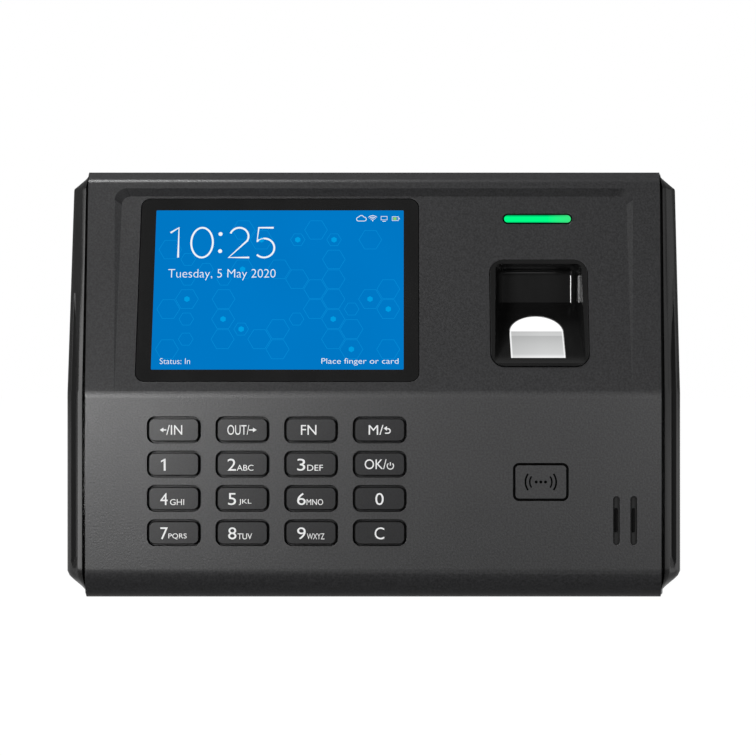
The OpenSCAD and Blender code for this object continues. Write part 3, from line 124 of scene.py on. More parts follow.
class Graph:
    """The node tree of a material or of the world, built step by step."""

    def __init__(self, owner: Material | bpy.types.World, shader: str = "Principled BSDF",
                 place: str = "Object") -> None:
        """Start with the main shader.

        Args:
            owner: The material or world.
            shader: Name of its main shader.
            place: Coordinates that the patterns lie on.
        """
        owner.use_nodes = True
        self.owner, self.tree = owner, owner.node_tree
        self.shader = self.tree.nodes[shader]
        self.place = self.add("ShaderNodeTexCoord").outputs[place]

    @classmethod
    def new(cls, name: str) -> "Graph":
        """Start a material."""
        return cls(bpy.data.materials.new(name))

    def put(self, value: object, socket: Socket) -> None:
        """Link a socket to another one, or set its constant.

        Args:
            value: The other socket, a number or a colour.
            socket: The socket.
        """
        if isinstance(value, Socket):
            self.tree.links.new(value, socket)
        else:
            socket.default_value = (*value, 1) if socket.type == "RGBA" else value

    def add(self, kind: str, inputs: dict[str | int, object] | None = None,
            **settings: object) -> bpy.types.Node:
        """Add a node.

        Args:
            kind: Type of the node.
            inputs: What its sockets get.
            settings: Its settings.

        Returns:
            The node.
        """
        node = self.tree.nodes.new(kind)
        for key, value in settings.items():
            setattr(node, key, value)
        for key, value in (inputs or {}).items():
            self.put(value, node.inputs[key])
        return node

    def fix(self, **values: object) -> Material | bpy.types.World:
        """Feed the main shader.

        Args:
            values: What its sockets get, with _ for a space in a socket's name.

        Returns:
            The material or world.
        """
        for key, value in values.items():
            self.put(value, self.shader.inputs[key.replace("_", " ")])
        return self.owner

    def mapped(self, **settings: Triple) -> Socket:
        """Give the coordinates, turned or stretched."""
        return self.add("ShaderNodeMapping", {"Vector": self.place, **settings}).outputs["Vector"]

    def noise(self, scale: float, detail: float = 2, stretch: Triple | None = None) -> Socket:
        """Add a noise pattern.

        Args:
            scale: Its scale per metre.
            detail: Its levels of detail.
            stretch: How it is stretched along each axis, if at all.

        Returns:
            The pattern.
        """
        place = self.mapped(Scale=stretch) if stretch else self.place
        inputs = {"Vector": place, "Scale": scale, "Detail": detail}
        return self.add("ShaderNodeTexNoise", inputs).outputs["Fac"]

    def ramp(self, value: Socket, *stops: tuple[float, Triple]) -> Socket:
        """Turn a value into a colour.

        Args:
            value: The value.
            stops: Places from 0 to 1 with their colours.

        Returns:
            The colour.
        """
        node = self.add("ShaderNodeValToRGB", {"Fac": value})
        marks = node.color_ramp.elements
        while len(marks) < len(stops):
            marks.new(0.5)
        for mark, (place, colour) in zip(marks, stops):
            mark.position = place
            mark.color = (*colour, 1)
        return node.outputs["Color"]

    def span(self, value: Socket, low: float, high: float, start: float = NOISE_LOW,
             stop: float = NOISE_HIGH) -> Socket:
        """Map a value between start and stop onto the span from low to high."""
        inputs = {"Value": value, "From Min": start, "From Max": stop, "To Min": low, "To Max": high}
        return self.add("ShaderNodeMapRange", inputs).outputs["Result"]

    def reckon(self, operation: str, first: Socket, second: Socket | float = 0) -> Socket:
        """Work with two values."""
        return self.add("ShaderNodeMath", {0: first, 1: second}, operation=operation).outputs[0]

    def across(self, axis: str, centre: float = 0) -> Socket:
        """Give the place along an axis in metres, from a centre in millimetres."""
        parts = self.add("ShaderNodeSeparateXYZ", {"Vector": self.place})
        return self.reckon("SUBTRACT", parts.outputs[axis], centre * MM)

    def blend(self, share: Socket, first: Socket, second: Triple) -> Socket:
        """Mix a share of a second colour into a first one."""
        inputs = {"Factor": share, MIX_FIRST: first, MIX_SECOND: second}
        return self.add("ShaderNodeMix", inputs, data_type="RGBA").outputs[MIX_RESULT]

    def bump(self, height: Socket, depth: float, strength: float) -> Material:
        """Raise the surface by a share of a pattern of some depth."""
        inputs = {"Height": height, "Distance": depth * MM, "Strength": strength}
        return self.fix(Normal=self.add("ShaderNodeBump", inputs).outputs["Normal"])

    def glow(self, colour: Socket, roughness: float, specular: float = 0.0,
             base: Triple = BLACK) -> Material:
        """Let the surface glow in a colour, over a base with a mirror of its own."""
        return self.fix(Emission_Color=colour, Emission_Strength=1.0, Roughness=roughness,
                        Specular_IOR_Level=specular, Base_Color=base)

    def seen(self, plain: float, mirrored: float | Socket, white: float) -> Socket:
        """Tell how bright the background is for each kind of ray.

        Args:
            plain: What lights the object.
            mirrored: What glossy surfaces show.
            white: What the camera sees, also through glass.

        Returns:
            The brightness.
        """
        path = self.add("ShaderNodeLightPath")
        level: float | Socket = plain
        for name, value in (("Glossy", mirrored), ("Transmission", white), ("Camera", white)):
            inputs = {"Factor": path.outputs[f"Is {name} Ray"], "A": level, "B": value}
            level = self.add("ShaderNodeMix", inputs).outputs["Result"]
        return level


@dataclass(frozen=True)
class Skin:
    """Moulded plastic with a fine eroded grain, or another surface that follows a noise pattern."""

    name: str
    colour: Triple
    roughness: float
    scale: float = 2600
    depth: float = 0.03
    strength: float = 0.35
    tones: Point = (0.78, 1.22)
    specular: float = 0.5
    lift: float = 0
    contrast: Point = (0.35, 0.65)
    dullness: Point = (0.98, 1.02)
    detail: float = 3
    stretch: Triple | None = None
    patch: float = 20
    ripple: float = 0
    metallic: float = 0

    def make(self) -> Material:
        """Build the material.

        Returns:
            The material.
        """
        graph = Graph.new(self.name)
        pattern = graph.noise(self.scale, self.detail, self.stretch)
        patches = graph.noise(self.scale / self.patch) if self.patch else pattern
        height = graph.noise(self.ripple) if self.ripple else pattern
        low, high = self.tones
        tones = shade(self.colour, low), shade(self.colour, high, self.lift)
        graph.fix(
            Base_Color=graph.ramp(pattern, *zip(self.contrast, tones)),
            Roughness=graph.span(patches, *shade(self.dullness, self.roughness)),
            Specular_IOR_Level=self.specular,
            Metallic=self.metallic,
        )
        return graph.bump(height, self.depth, self.strength)


@dataclass(frozen=True)
class Polished(Skin):
    """Glossy plastic or coated glass with faint wipe marks."""

    scale: float = 90
    depth: float = 0.004
    strength: float = 0.12
    tones: Point = (1, 1.25)
    lift: float = 0.0004
    contrast: Point = (0.3, 0.75)
    dullness: Point = (0.8, 1.3)
    detail: float = 4
    stretch: Triple | None = (1, 1, 0.35)
    patch: float = 0
    ripple: float = 1400


@dataclass(frozen=True)
class Metal(Skin):
    """Bare or plated metal with fine rolling lines along x."""

    scale: float = 900
    depth: float = 0.01
    strength: float = 0.2
    tones: Point = (0.85, 1)
    contrast: Point = (NOISE_LOW, NOISE_HIGH)
    dullness: Point = (0.85, 1.2)
    stretch: Triple | None = (0.06, 1, 1)
    patch: float = 0
    metallic: float = 1


@dataclass(frozen=True)
class CoatedBoard:
    """Circuit board: green lacquer over copper lines."""

    name: str
    colour: Triple
    tracks: float = 420
    gap: float = 0.06
    paler: float = 1.8

    def make(self) -> Material:
        """Build the material.

        Returns:
            The material.
        """
        graph = Graph.new(self.name)
        place = graph.mapped(Rotation=(QUARTER, 0, 0))
        inputs = {"Vector": place, "Scale": self.tracks, "Mortar Size": self.gap}
        lines = graph.add("ShaderNodeTexBrick", inputs, offset=0.5, squash=1.6).outputs["Fac"]
        tone = graph.ramp(lines, (0, self.colour), (1, shade(self.colour, self.paler)))
        graph.fix(Base_Color=tone, Roughness=0.32, Coat_Weight=0.3)
        return graph.bump(lines, 0.02, 0.3)


@dataclass(frozen=True)
class Lit:
    """A surface that glows, with a slow change of brightness over it."""

    name: str
    colour: Triple
    waver: float = 0.04
    slowness: float = 40

    def make(self) -> Material:
        """Build the material.

        Returns:
            The material.
        """
        graph = Graph.new(self.name)
        stops = ((NOISE_LOW, shade(self.colour, 1 - self.waver)), (NOISE_HIGH, self.colour))
        return graph.glow(graph.ramp(graph.noise(self.slowness, 1), *stops), 0.25)


@dataclass(frozen=True)
class GlowBar:
    """Light bar that is dimmer along its upper and lower edge, which is painted shade on its rounded edges,
    and pales towards its right end.
    """

    name: str
    colour: Triple
    dim: Triple
    pale: Triple
    x: float
    z: float
    half_width: float
    half_height: float
    steps: tuple[float, float, float, float] = (0, 0.16, 0.74, 0.92)
    pale_share: float = 0.8
    pale_start: float = 0.3

    def make(self) -> Material:
        """Build the material.

        Returns:
            The material.
        """
        graph = Graph.new(self.name)
        tall, wide = self.half_height * MM, self.half_width * MM
        rise = graph.span(graph.across("Z", self.z), 0, 1, -tall, tall)
        # The ramp's dim ends are painted shade on the bar's rounded upper and lower edges.
        tone = graph.ramp(rise, *zip(self.steps, (self.dim, self.colour, self.colour, self.dim)))
        end = graph.span(graph.across("X", self.x), 0, self.pale_share, self.pale_start * wide, wide)
        return graph.glow(graph.blend(end, tone, self.pale), 0.3)


@dataclass(frozen=True)
class PaintedReflectionWindow:
    """Sensor window that glows with a painted reflection: white above a line, painted shade in greys under
    it and towards its left, and a painted highlight along its sides.
    """

    name: str
    x: float
    half_width: float
    foot: float
    split: float
    side_tone: Triple = linear(140, 140, 140)
    side_share: float = 0.22
    side_stop: float = 0.2
    blur: float = 0.1
    rim: Point = (0.45, 0.25)
    rim_share: float = 0.8
    tones: tuple[tuple[float, Triple], ...] = (
        (0, linear(238, 238, 238)),
        (0.06, linear(222, 223, 224)),
        (0.12, linear(205, 206, 206)),
        (0.5, linear(194, 195, 195)),
        (0.81, linear(180, 181, 181)),
        (0.83, linear(204, 205, 205)),
        (0.985, linear(198, 199, 199)),
        (1.0, linear(255, 255, 255)),
    )

    def make(self) -> Material:
        """Build the material.

        Returns:
            The material.
        """
        graph = Graph.new(self.name)
        up, side, wide = graph.across("Z"), graph.across("X", self.x), self.half_width
        # Painted reflection: greys under the split line, darker to the left, white above it and along the
        # sides.
        tone = graph.ramp(graph.span(up, 0, 1, self.foot * MM, self.split * MM), *self.tones)
        left = graph.span(side, self.side_share, 0, -wide * MM, self.side_stop * wide * MM)
        tone = graph.blend(left, tone, self.side_tone)
        above = graph.span(up, 0, 1, (self.split - self.blur) * MM, self.split * MM)
        tone = graph.blend(above, tone, PAPER)
        start, stop = ((wide - inset) * MM for inset in self.rim)
        rim = graph.span(graph.reckon("ABSOLUTE", side), 0, self.rim_share, start, stop)
        graph.glow(graph.blend(rim, tone, PAPER), 0.1, 0.1, (0.02, 0.02, 0.02))
        return graph.bump(graph.noise(700), 0.003, 0.1)


class Look(Enum):
    """Finishes of the terminal."""

    CASE = Skin("case_grained_grey", (0.021, 0.021, 0.022), 0.35, 1900, 0.036, 0.8, (0.65, 1.35))
    # Darker than CASE, which is painted shade on the sunk panel's upper corners, and duller, which damps
    # their highlight.
    CORNER = Skin("corner_grained_painted_shade", (0.018, 0.018, 0.019), 0.55, 2300, specular=0.25)
    BACK = Skin("back_grained_black", (0.016, 0.016, 0.017), 0.55, 2000)
    KEY = Skin("key_satin_grey", (0.014, 0.014, 0.015), 0.28, 3200, 0.015, 0.2, specular=0.42)
    TRIM = Polished("trim_gloss_black", (0.012, 0.012, 0.012), 0.16)
    BEZEL = Polished("bezel_gloss_black", (0.008, 0.008, 0.008), 0.11)
    GLASS = Polished("display_glass_black", (0.009, 0.009, 0.009), 0.07, specular=0.25)
    SCREEN = Lit("screen_blue", linear(0, 121, 199))
    PATTERN = Lit("screen_pattern_pale_blue", linear(12, 146, 219))
    SPOT = Lit("screen_spot_pale_blue", linear(0, 158, 228))
    WRITING = Lit("screen_writing_white", linear(246, 250, 253))
    CHARGE = Lit("screen_charge_green", linear(146, 214, 96))
    # Its dimmer upper and lower edges are painted shade.
    LIGHT = GlowBar("status_light_green", linear(0, 255, 136), linear(0, 165, 95), linear(66, 224, 128),
                    48.5, 48.55, 9.9, 1.15)
    # A glow of painted reflection and painted shade on the sensor window.
    WINDOW = PaintedReflectionWindow("sensor_window_painted_reflection", 48.1, 7.85, 7.4, 15.2)
    LEGEND = Skin("legend_white_ink", linear(218, 218, 218), 0.5, 5000, 0.004, 0.1, (0.96, 1.04))
    MARK = Skin("mark_black_ink", (0.002, 0.002, 0.002), 0.8, 4000, 0.004, 0.1, specular=0.02)
    # Black of the dark inside parts, also laid as painted shade on gaps, slits, sides of keys and edges
    # that would show a highlight.
    BLACK_AND_SHADE = Skin("inner_black", (0.005, 0.005, 0.005), 0.6, specular=0.12)
    # Darker grey for the vents' grooves: painted shade in a recess.
    GROOVE_SHADE = Skin("groove_painted_shade", (0.008, 0.008, 0.008), 0.55, 1300, specular=0.3)
    STEEL = Metal("plated_steel", (0.56, 0.56, 0.57), 0.34)
    BRIGHT = Metal("bright_plating", (0.66, 0.66, 0.65), 0.24)
    BOARD = CoatedBoard("board_green", (0.006, 0.07, 0.022))
    TERMINAL = Skin("terminal_green_plastic", (0.015, 0.2, 0.06), 0.4, tones=(0.92, 1.08))
    WHITE = Skin("white_plastic", (0.72, 0.72, 0.7), 0.4, tones=(0.96, 1.04))


@cache
def dressed(look: Look) -> Material:
    """Give a finish's material, made the first time it is asked for."""
    return look.value.make()


def take(*objects: Object) -> None:
    """Leave only these objects selected, with the first one active.

    Args:
        objects: What to select, or nothing.
    """
    if bpy.context.object and bpy.context.object.mode != "OBJECT":
        bpy.ops.object.mode_set(mode="OBJECT")
    bpy.ops.object.select_all(action="DESELECT")
    for item in objects:
        item.select_set(True)
    if objects:
        bpy.context.view_layer.objects.active = objects[0]


def add(name: str, data: bpy.types.ID) -> Object:
    """Put new data into the scene.

    Args:
        name: Name of the object.
        data: Its mesh, curve, lamp or camera.

    Returns:
        The object.
    """
    item = bpy.data.objects.new(name, data)
    bpy.context.scene.collection.objects.link(item)
    return item


def settle() -> Object:
    """Move the selected piece's place into its mesh, and give the piece."""
    bpy.ops.object.transform_apply(location=True, rotation=True, scale=True)
    return bpy.context.object


def pick(item: Object, mode: str, test: Test) -> None:
    """Open a piece in edit mode and select some of its edges or faces.

    Args:
        item: The piece.
        mode: EDGE or FACE.
        test: Tells from the middle and an edge's direction or a face's normal.
    """
    take(item)
    bpy.ops.object.mode_set(mode="EDIT")
    bpy.ops.mesh.select_mode(type=mode)
    bpy.ops.mesh.select_all(action="DESELECT")
    mesh = bmesh.from_edit_mesh(item.data)
    if mode == "FACE":
        for face in mesh.faces:
            face.select_set(test(face.calc_center_median() / MM, face.normal))
    else:
        for edge in mesh.edges:
            start, stop = (v.co for v in edge.verts)
            edge.select_set(test((start + stop) / 2 / MM, (stop - start).normalized()))
    bmesh.update_edit_mesh(item.data)


def round_off(radius: float, segments: int) -> None:
    """Bevel what is selected in edit mode and go back to object mode."""
    bpy.ops.mesh.bevel(offset=radius * MM, segments=segments, affect="EDGES", clamp_overlap=True)
    bpy.ops.object.mode_set(mode="OBJECT")


def modify(item: Object, kind: str, **settings: object) -> None:
    """Add a modifier to a piece and apply it.

    Args:
        item: The piece.
        kind: Type of the modifier.
        settings: Its settings.
    """
    take(item)
    modifier = item.modifiers.new(kind.title(), kind)
    for key, value in settings.items():
        setattr(modifier, key, value)
    bpy.ops.object.modifier_apply(modifier=modifier.name)


def smooth(item: Object, angle: float) -> None:
    """Shade a piece smooth except at sharp edges, with its large faces kept flat.

    Args:
        item: The piece.
        angle: Edges sharper than this, in degrees, stay sharp.
    """
    take(item)
    bpy.ops.object.shade_smooth_by_angle(angle=math.radians(angle))
    modify(item, "WEIGHTED_NORMAL", keep_sharp=True, weight=80)
    normals = [corner.vector.copy() for corner in item.data.corner_normals]
    for face in item.data.polygons:
        for i in face.loop_indices:
            if normals[i].dot(face.normal) < FLAT_ENOUGH:
                normals[i] = face.normal.copy()
    item.data.normals_split_custom_set(normals)


def lay(item: Object, plane: Plane, x: float, y: float, z: float) -> None:
    """Move a piece from its own axes onto a face, and keep the place in its mesh.

    Args:
        item: The piece.
        plane: The face.
        x, y, z: Place to the right, into the face and up it.
    """
    take(item)
    item.matrix_world = plane.value @ Matrix.Translation((x * MM, y * MM, z * MM)) @ item.matrix_world
    settle()


def join(name: str, items: Sequence[Object]) -> Object:
    """Join pieces into one.

    Args:
        name: Name of the joined piece.
        items: The pieces.

    Returns:
        The joined piece.
    """
    take(*items)
    if len(items) > 1:
        bpy.ops.object.join()
    whole = bpy.context.object
    whole.name = whole.data.name = name
    return whole


def plate(name: str, width: float, height: float, radius: float, front: float, back: float,
          rim: float = 0) -> Object:
    """Make a plate with rounded corners that faces the front.

    Args:
        name: Name of the piece.
        width, height: Sizes along x and z.
        radius: Corner radius.
        front, back: Depths of its faces.
        rim: Width of the round along its front edge, or 0 for a sharp edge.

    Returns:
        The plate, centred on x and z.
    """
    take()
    bpy.ops.mesh.primitive_cube_add(size=1, location=(0, (front + back) / 2 * MM, 0))
    item = bpy.context.object
    item.name = item.data.name = name
    item.scale = (width * MM, (back - front) * MM, height * MM)
    settle()
    pick(item, "EDGE", lambda mid, way: abs(way.y) > 0.9)
    round_off(radius, 8)
    if rim > 0:
        pick(item, "EDGE", lambda mid, way: abs(way.y) < 0.1 and mid.y < front + 0.001)
        round_off(rim, 3)
    return item


def words(text: str, left: float, right: float, low: float, high: float, heft: float = 0) -> Object:
    """Write words that fill a given box on a face.

    Args:
        text: The words.
        left, right, low, high: Ends of the box.
        heft: How much the strokes are fattened.

    Returns:
        The words as a thin mesh that faces the front.
    """
    take()
    bpy.ops.object.text_add(location=(0, 0, 0))
    item = bpy.context.object
    item.data.body = text
    item.data.size = (high - low) * MM
    item.data.offset = heft * MM
    item.data.extrude = PRINT_DEPTH * MM
    item.data.resolution_u = 6
    bpy.ops.object.convert(target="MESH")
    item = bpy.context.object
    spots = [v.co for v in item.data.vertices]
    near = Vector((min(p.x for p in spots), min(p.y for p in spots), 0))
    far = Vector((max(p.x for p in spots), max(p.y for p in spots), 0))
    tall = (high - low) * MM / (far.y - near.y)
    wide = min(max((right - left) * MM / (far.x - near.x), NARROWEST * tall), WIDEST * tall)
    start = (left + right) / 2 * MM - wide * (far.x - near.x) / 2
    fit = Matrix.Translation((start, 0, low * MM)) @ Matrix.Rotation(QUARTER, 4, "X")
    item.matrix_world = fit @ Matrix.Diagonal((wide, tall, 1, 1)) @ Matrix.Translation(-near)
    return settle()


def trace(path: Sequence[Triple], closed: bool, fit: tuple[str, Triple], **settings: object) -> Object:
    """Turn a curve through points into a mesh.

    Args:
        path: The points.
        closed: If the curve goes back to its start.
        fit: How the mesh is turned or scaled at last.
        settings: Settings of the curve.

    Returns:
        The mesh, selected.
    """
    curve = bpy.data.curves.new("line", "CURVE")
    for key, value in settings.items():
        setattr(curve, key, value)
    spline = curve.splines.new("POLY")
    spline.points.add(len(path) - 1)
    spline.use_cyclic_u = closed
    for mark, spot in zip(spline.points, path):
        mark.co = (*(c * MM for c in spot), 1)
    take(add("line", curve))
    bpy.ops.object.convert(target="MESH")
    setattr(bpy.context.object, *fit)
    return settle()


def stroke(path: Sequence[Point], width: float, closed: bool = False) -> Object:
    """Draw a flat line of even width along a path of x and z on a face."""
    return trace([(x, 0, z) for x, z in path], closed, ("scale", (1, 2 * PRINT_DEPTH / width, 1)),
                 dimensions="3D", bevel_depth=width / 2 * MM, bevel_resolution=2, use_fill_caps=True)


def patch(path: Sequence[Point]) -> Object:
    """Fill an outline of x and z on a face."""
    return trace([(x, z, 0) for x, z in path], True, ("rotation_euler", (QUARTER, 0, 0)),
                 dimensions="2D", fill_mode="BOTH", extrude=PRINT_DEPTH * MM)


def disc(x: float, z: float, radius: float, sides: int = 24, front: float = -PRINT_DEPTH,
         back: float = PRINT_DEPTH) -> Object:
    """Make a round that faces the front.

    Args:
        x, z: Its centre.
        radius: Its radius.
        sides: Number of its sides.
        front, back: Depths of its faces.

    Returns:
        The round.
    """
    take()
    bpy.ops.mesh.primitive_cylinder_add(
        vertices=sides, radius=radius * MM, depth=(back - front) * MM,
        location=(x * MM, (front + back) / 2 * MM, z * MM), rotation=(QUARTER, 0, 0),
    )
    return settle()


def strays(mesh: bpy.types.Mesh, shape: BVHTree, reach: float) -> set[Triple]:
    """Find where a rounded mesh stands off the shape that it was made from.

    Args:
        mesh: The rounded mesh.
        shape: The shape before its edges were rounded.
        reach: How far a point may lie from the shape, in metres.

    Returns:
        Corners of the triangles that lie too far away or face the wrong way.
    """
    found: set[Triple] = set()
    mesh.calc_loop_triangles()
    for triangle in mesh.loop_triangles:
        corners = [mesh.vertices[i].co for i in triangle.vertices]
        _, normal, _, off = shape.find_nearest((corners[0] + corners[1] + corners[2]) / 3)
        for one, other in zip(corners, corners[1:] + corners[:1]):
            if (one - other).length > reach and off <= reach:
                off = max(off, shape.find_nearest((one + other) / 2)[3])
        if off > reach or normal.dot(triangle.normal) < TURNED_AWAY:
            found |= {tuple(corner) for corner in corners}
    return found


def round_edges(item: Object, width: float, angle: float) -> None:
    """Round a piece's sharp edges, less in hollows, and not where a round would stand off its shape.

    Args:
        item: The piece.
        width: Width of the rounds.
        angle: Edges sharper than this, in degrees, are rounded.
    """
    plain, near = item.data, NEAR_WIDTHS * width * MM
    shape = bmesh.new()
    shape.from_mesh(plain)
    shape.faces.ensure_lookup_table()
    tree = BVHTree.FromBMesh(shape)
    limit = math.radians(angle)
    sharp = {e.index: 1.0 if e.is_convex else HOLLOW_SHARE for e in shape.edges
             if e.is_manifold and e.calc_face_angle() > limit}
    while True:
        item.data = plain.copy()
        weights = item.data.attributes.new("bevel_weight_edge", "FLOAT", "EDGE")
        weights.data.foreach_set("value", [sharp.get(i, 0.0) for i in range(len(plain.edges))])
        modify(
            item, "BEVEL", width=width * MM, segments=ROUND_STEPS, limit_method="WEIGHT",
            use_clamp_overlap=False, miter_outer="MITER_ARC",
        )
        found = strays(item.data, tree, (OFF_SHARE * width + OFF_SLACK) * MM)
        before = len(sharp)
        for spot in map(Vector, found):
            for _, _, face, _ in tree.find_nearest_range(spot, near):
                for edge in shape.faces[face].edges:
                    start, stop = (v.co for v in edge.verts)
                    foot, share = intersect_point_line(spot, start, stop)
                    foot = start if share < 0 else stop if share > 1 else foot
                    if (foot - spot).length < near:
                        sharp.pop(edge.index, None)
        if len(sharp) == before:
            break
    shape.free()
    item.data.name = item.name


def soften(node: str, piece: str, width: float, slot: str, look: Look, angle: float = 35,
           splits: Sequence[float] = ()) -> Object:
    """Copy a solid of the frame, round its sharp edges and dress the copy in its place.

    Args:
        node, piece: Names of the solid and of the new piece.
        width: Width of the rounds.
        slot: Material slot of the record.
        look: Its finish.
        angle: Edges sharper than this, in degrees, are rounded.
        splits: Heights at which long edges are split.

    Returns:
        The softened copy.
    """
    item = add(piece, frame["nodes"][node].data.copy())
    item.data.materials.clear()
    take(item)
    bpy.ops.mesh.customdata_custom_splitnormals_clear()
    bpy.ops.object.mode_set(mode="EDIT")
    bpy.ops.mesh.select_all(action="SELECT")
    bpy.ops.mesh.remove_doubles(threshold=WELD * MM)
    bpy.ops.mesh.dissolve_limited(angle_limit=math.radians(FLUSH))
    for height in splits:
        bpy.ops.mesh.select_all(action="SELECT")
        bpy.ops.mesh.bisect(plane_co=(0, 0, height * MM), plane_no=(0, 0, 1))
    bpy.ops.object.mode_set(mode="OBJECT")
    round_edges(item, width, angle)
    smooth(item, 32)
    finish(item, CASE_BODY, slot, look, node)
    return item


def overlay(item: Object, look: Look, test: Test) -> None:
    """Give some faces of a dressed piece another finish.

    Args:
        item: The piece.
        look: The other finish.
        test: Tells from a face's middle and its normal if it is meant.
    """
    item.data.materials.append(dressed(look))
    pick(item, "FACE", test)
    item.active_material_index = len(item.data.materials) - 1
    bpy.ops.object.material_slot_assign()
    bpy.ops.object.mode_set(mode="OBJECT")


def finish(item: Object, body: str, slot: str, look: Look, *nodes: str) -> None:
    """Dress a piece, set it on its body and hide the solids that it stands for.

    Args:
        item: The piece.
        body: The body that it moves with.
        slot: Material slot of the record; not used.
        look: Its finish.
        nodes: Solids that it replaces.
    """
    item.data.materials.clear()
    item.data.materials.append(dressed(look))
    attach(item, body)
    if nodes:
        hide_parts(*nodes)
    LOG.info("%s: %d faces on %s", item.name, len(item.data.polygons), body)


@dataclass
class Case:
    """Front cover, rear cover, side trims and wall plate."""

    splits: Point = (-1.4, -4.9)
    grooves: tuple[float, ...] = (67, -50, 79, -30, -39.85)
    holes: tuple[tuple[float, ...], ...] = ((-68, -52, 12, -10, -39.98), (67, -50, 79, -30, -38.45))
    trim_step: float = 86.8
    panel_corner: Point = (72.4, 53.0)

    def in_corner(self, mid: Vector, way: Vector) -> bool:
        """Tell if a face of the front cover lies in an upper corner of the sunk panel's edge."""
        x, z = self.panel_corner
        return abs(mid.x) > x and mid.z > z and way.y < -0.7 and way.x * mid.x < -0.05 * x

    @staticmethod
    def within(mid: Vector, *rooms: Sequence[float]) -> bool:
        """Tell if a place lies in one of some rooms, each given by its x, z, x, z and front."""
        return any(x0 < mid.x < x1 and z0 < mid.z < z1 and mid.y > y for x0, z0, x1, z1, y in rooms)

    def build(self) -> None:
        """Model and dress the outer shells."""
        front = soften("front_cover", "front_shell", 0.13, "case_grey", Look.CASE, splits=self.splits)
        # The sunk panel's upper corners get a darker colour, which is painted shade, and a duller gloss.
        overlay(front, Look.CORNER, self.in_corner)
        # The vents' groove walls and floors get a darker grey: painted shade in the grooves.
        overlay(front, Look.GROOVE_SHADE, lambda mid, way: self.within(mid, self.grooves))
        # Key-hole walls and vent slits are painted black: painted shade in the gaps round the keys and in
        # the slits.
        overlay(front, Look.BLACK_AND_SHADE, lambda mid, way: self.within(mid, *self.holes))
        soften("rear_cover", "rear_shell", 0.3, "back_black", Look.BACK)
        soften("wall_plate", "hanging_plate", 0.2, "plate_steel", Look.STEEL)
        for side in ("left", "right"):
            trim = soften(f"side_trim_{side}", f"trim_{side}", 0.12, "trim_gloss", Look.TRIM, 30)
            # The step floor between cover and trim is painted black: painted shadow in that gap.
            overlay(trim, Look.BLACK_AND_SHADE, lambda mid, way: abs(mid.x) > self.trim_step and way.y < -0.9)


class Sign(Enum):
    """Signs that stand beside a legend or in its place."""

    BACK = auto()
    ONWARD = auto()
    RETURN = auto()
    POWER = auto()
    ONE = auto()


@dataclass(frozen=True)
class Legend:
    """What is printed on one key: words, small letters beside a digit and a sign."""

    words: str
    box: Point = (0, 0)
    small: str = ""
    small_box: Point = (0, 0)
    sign: Sign | None = None


LEGENDS: dict[str, Legend] = {
    "key_in": Legend("/IN", (-2.1, 2.5), sign=Sign.BACK),
    "key_out": Legend("OUT/", (-4.3, 2.0), sign=Sign.ONWARD),
    "key_fn": Legend("FN", (-2.9, 1.58)),
    "key_menu": Legend("M/", (-3.18, 1.08), sign=Sign.RETURN),
    "key_1": Legend("", sign=Sign.ONE),
    "key_2": Legend("2", (-4.26, -1.81), "ABC", (-1.6, 3.23)),
    "key_3": Legend("3", (-3.98, -1.65), "DEF", (-1.08, 3.49)),
    "key_ok": Legend("OK/", (-4.34, 1.99), sign=Sign.POWER),
    "key_4": Legend("4", (-3.86, -1.72), "GHI", (-1.03, 3.05)),
    "key_5": Legend("5", (-4.1, -1.8), "JKL", (-1.16, 2.79)),
    "key_6": Legend("6", (-4.0, -1.52), "MNO", (-1.27, 3.51)),
    "key_0": Legend("0", (-1.25, 1.15)),
    "key_7": Legend("7", (-3.82, -1.65), "PQRS", (-1.5, 3.77)),
    "key_8": Legend("8", (-4.08, -1.7), "TUV", (-1.37, 2.84)),
    "key_9": Legend("9", (-4.0, -1.52), "WXYZ", (-1.16, 3.87)),
    "key_clear": Legend("C", (-1.45, 1.35)),
}


def arc(x: float, z: float, radius: float, start: float, stop: float, steps: int = 16) -> list[Point]:
    """Give points along an arc about a centre, from one angle in degrees to another."""
    angles = [math.radians(start + (stop - start) * i / steps) for i in range(steps + 1)]
    return [(x + radius * math.cos(a), z + radius * math.sin(a)) for a in angles]


def arrow(tip: float, tail: float, head: float, width: float) -> list[Object]:
    """Draw a flat arrow at a key's middle height, with a head of some length and a line of some width."""
    barb, half = tip - head if tip > tail else tip + head, BARB_SHARE * head
    return [stroke([(tail, 0), (barb, 0)], width), patch([(tip, 0), (barb, half), (barb, -half)])]


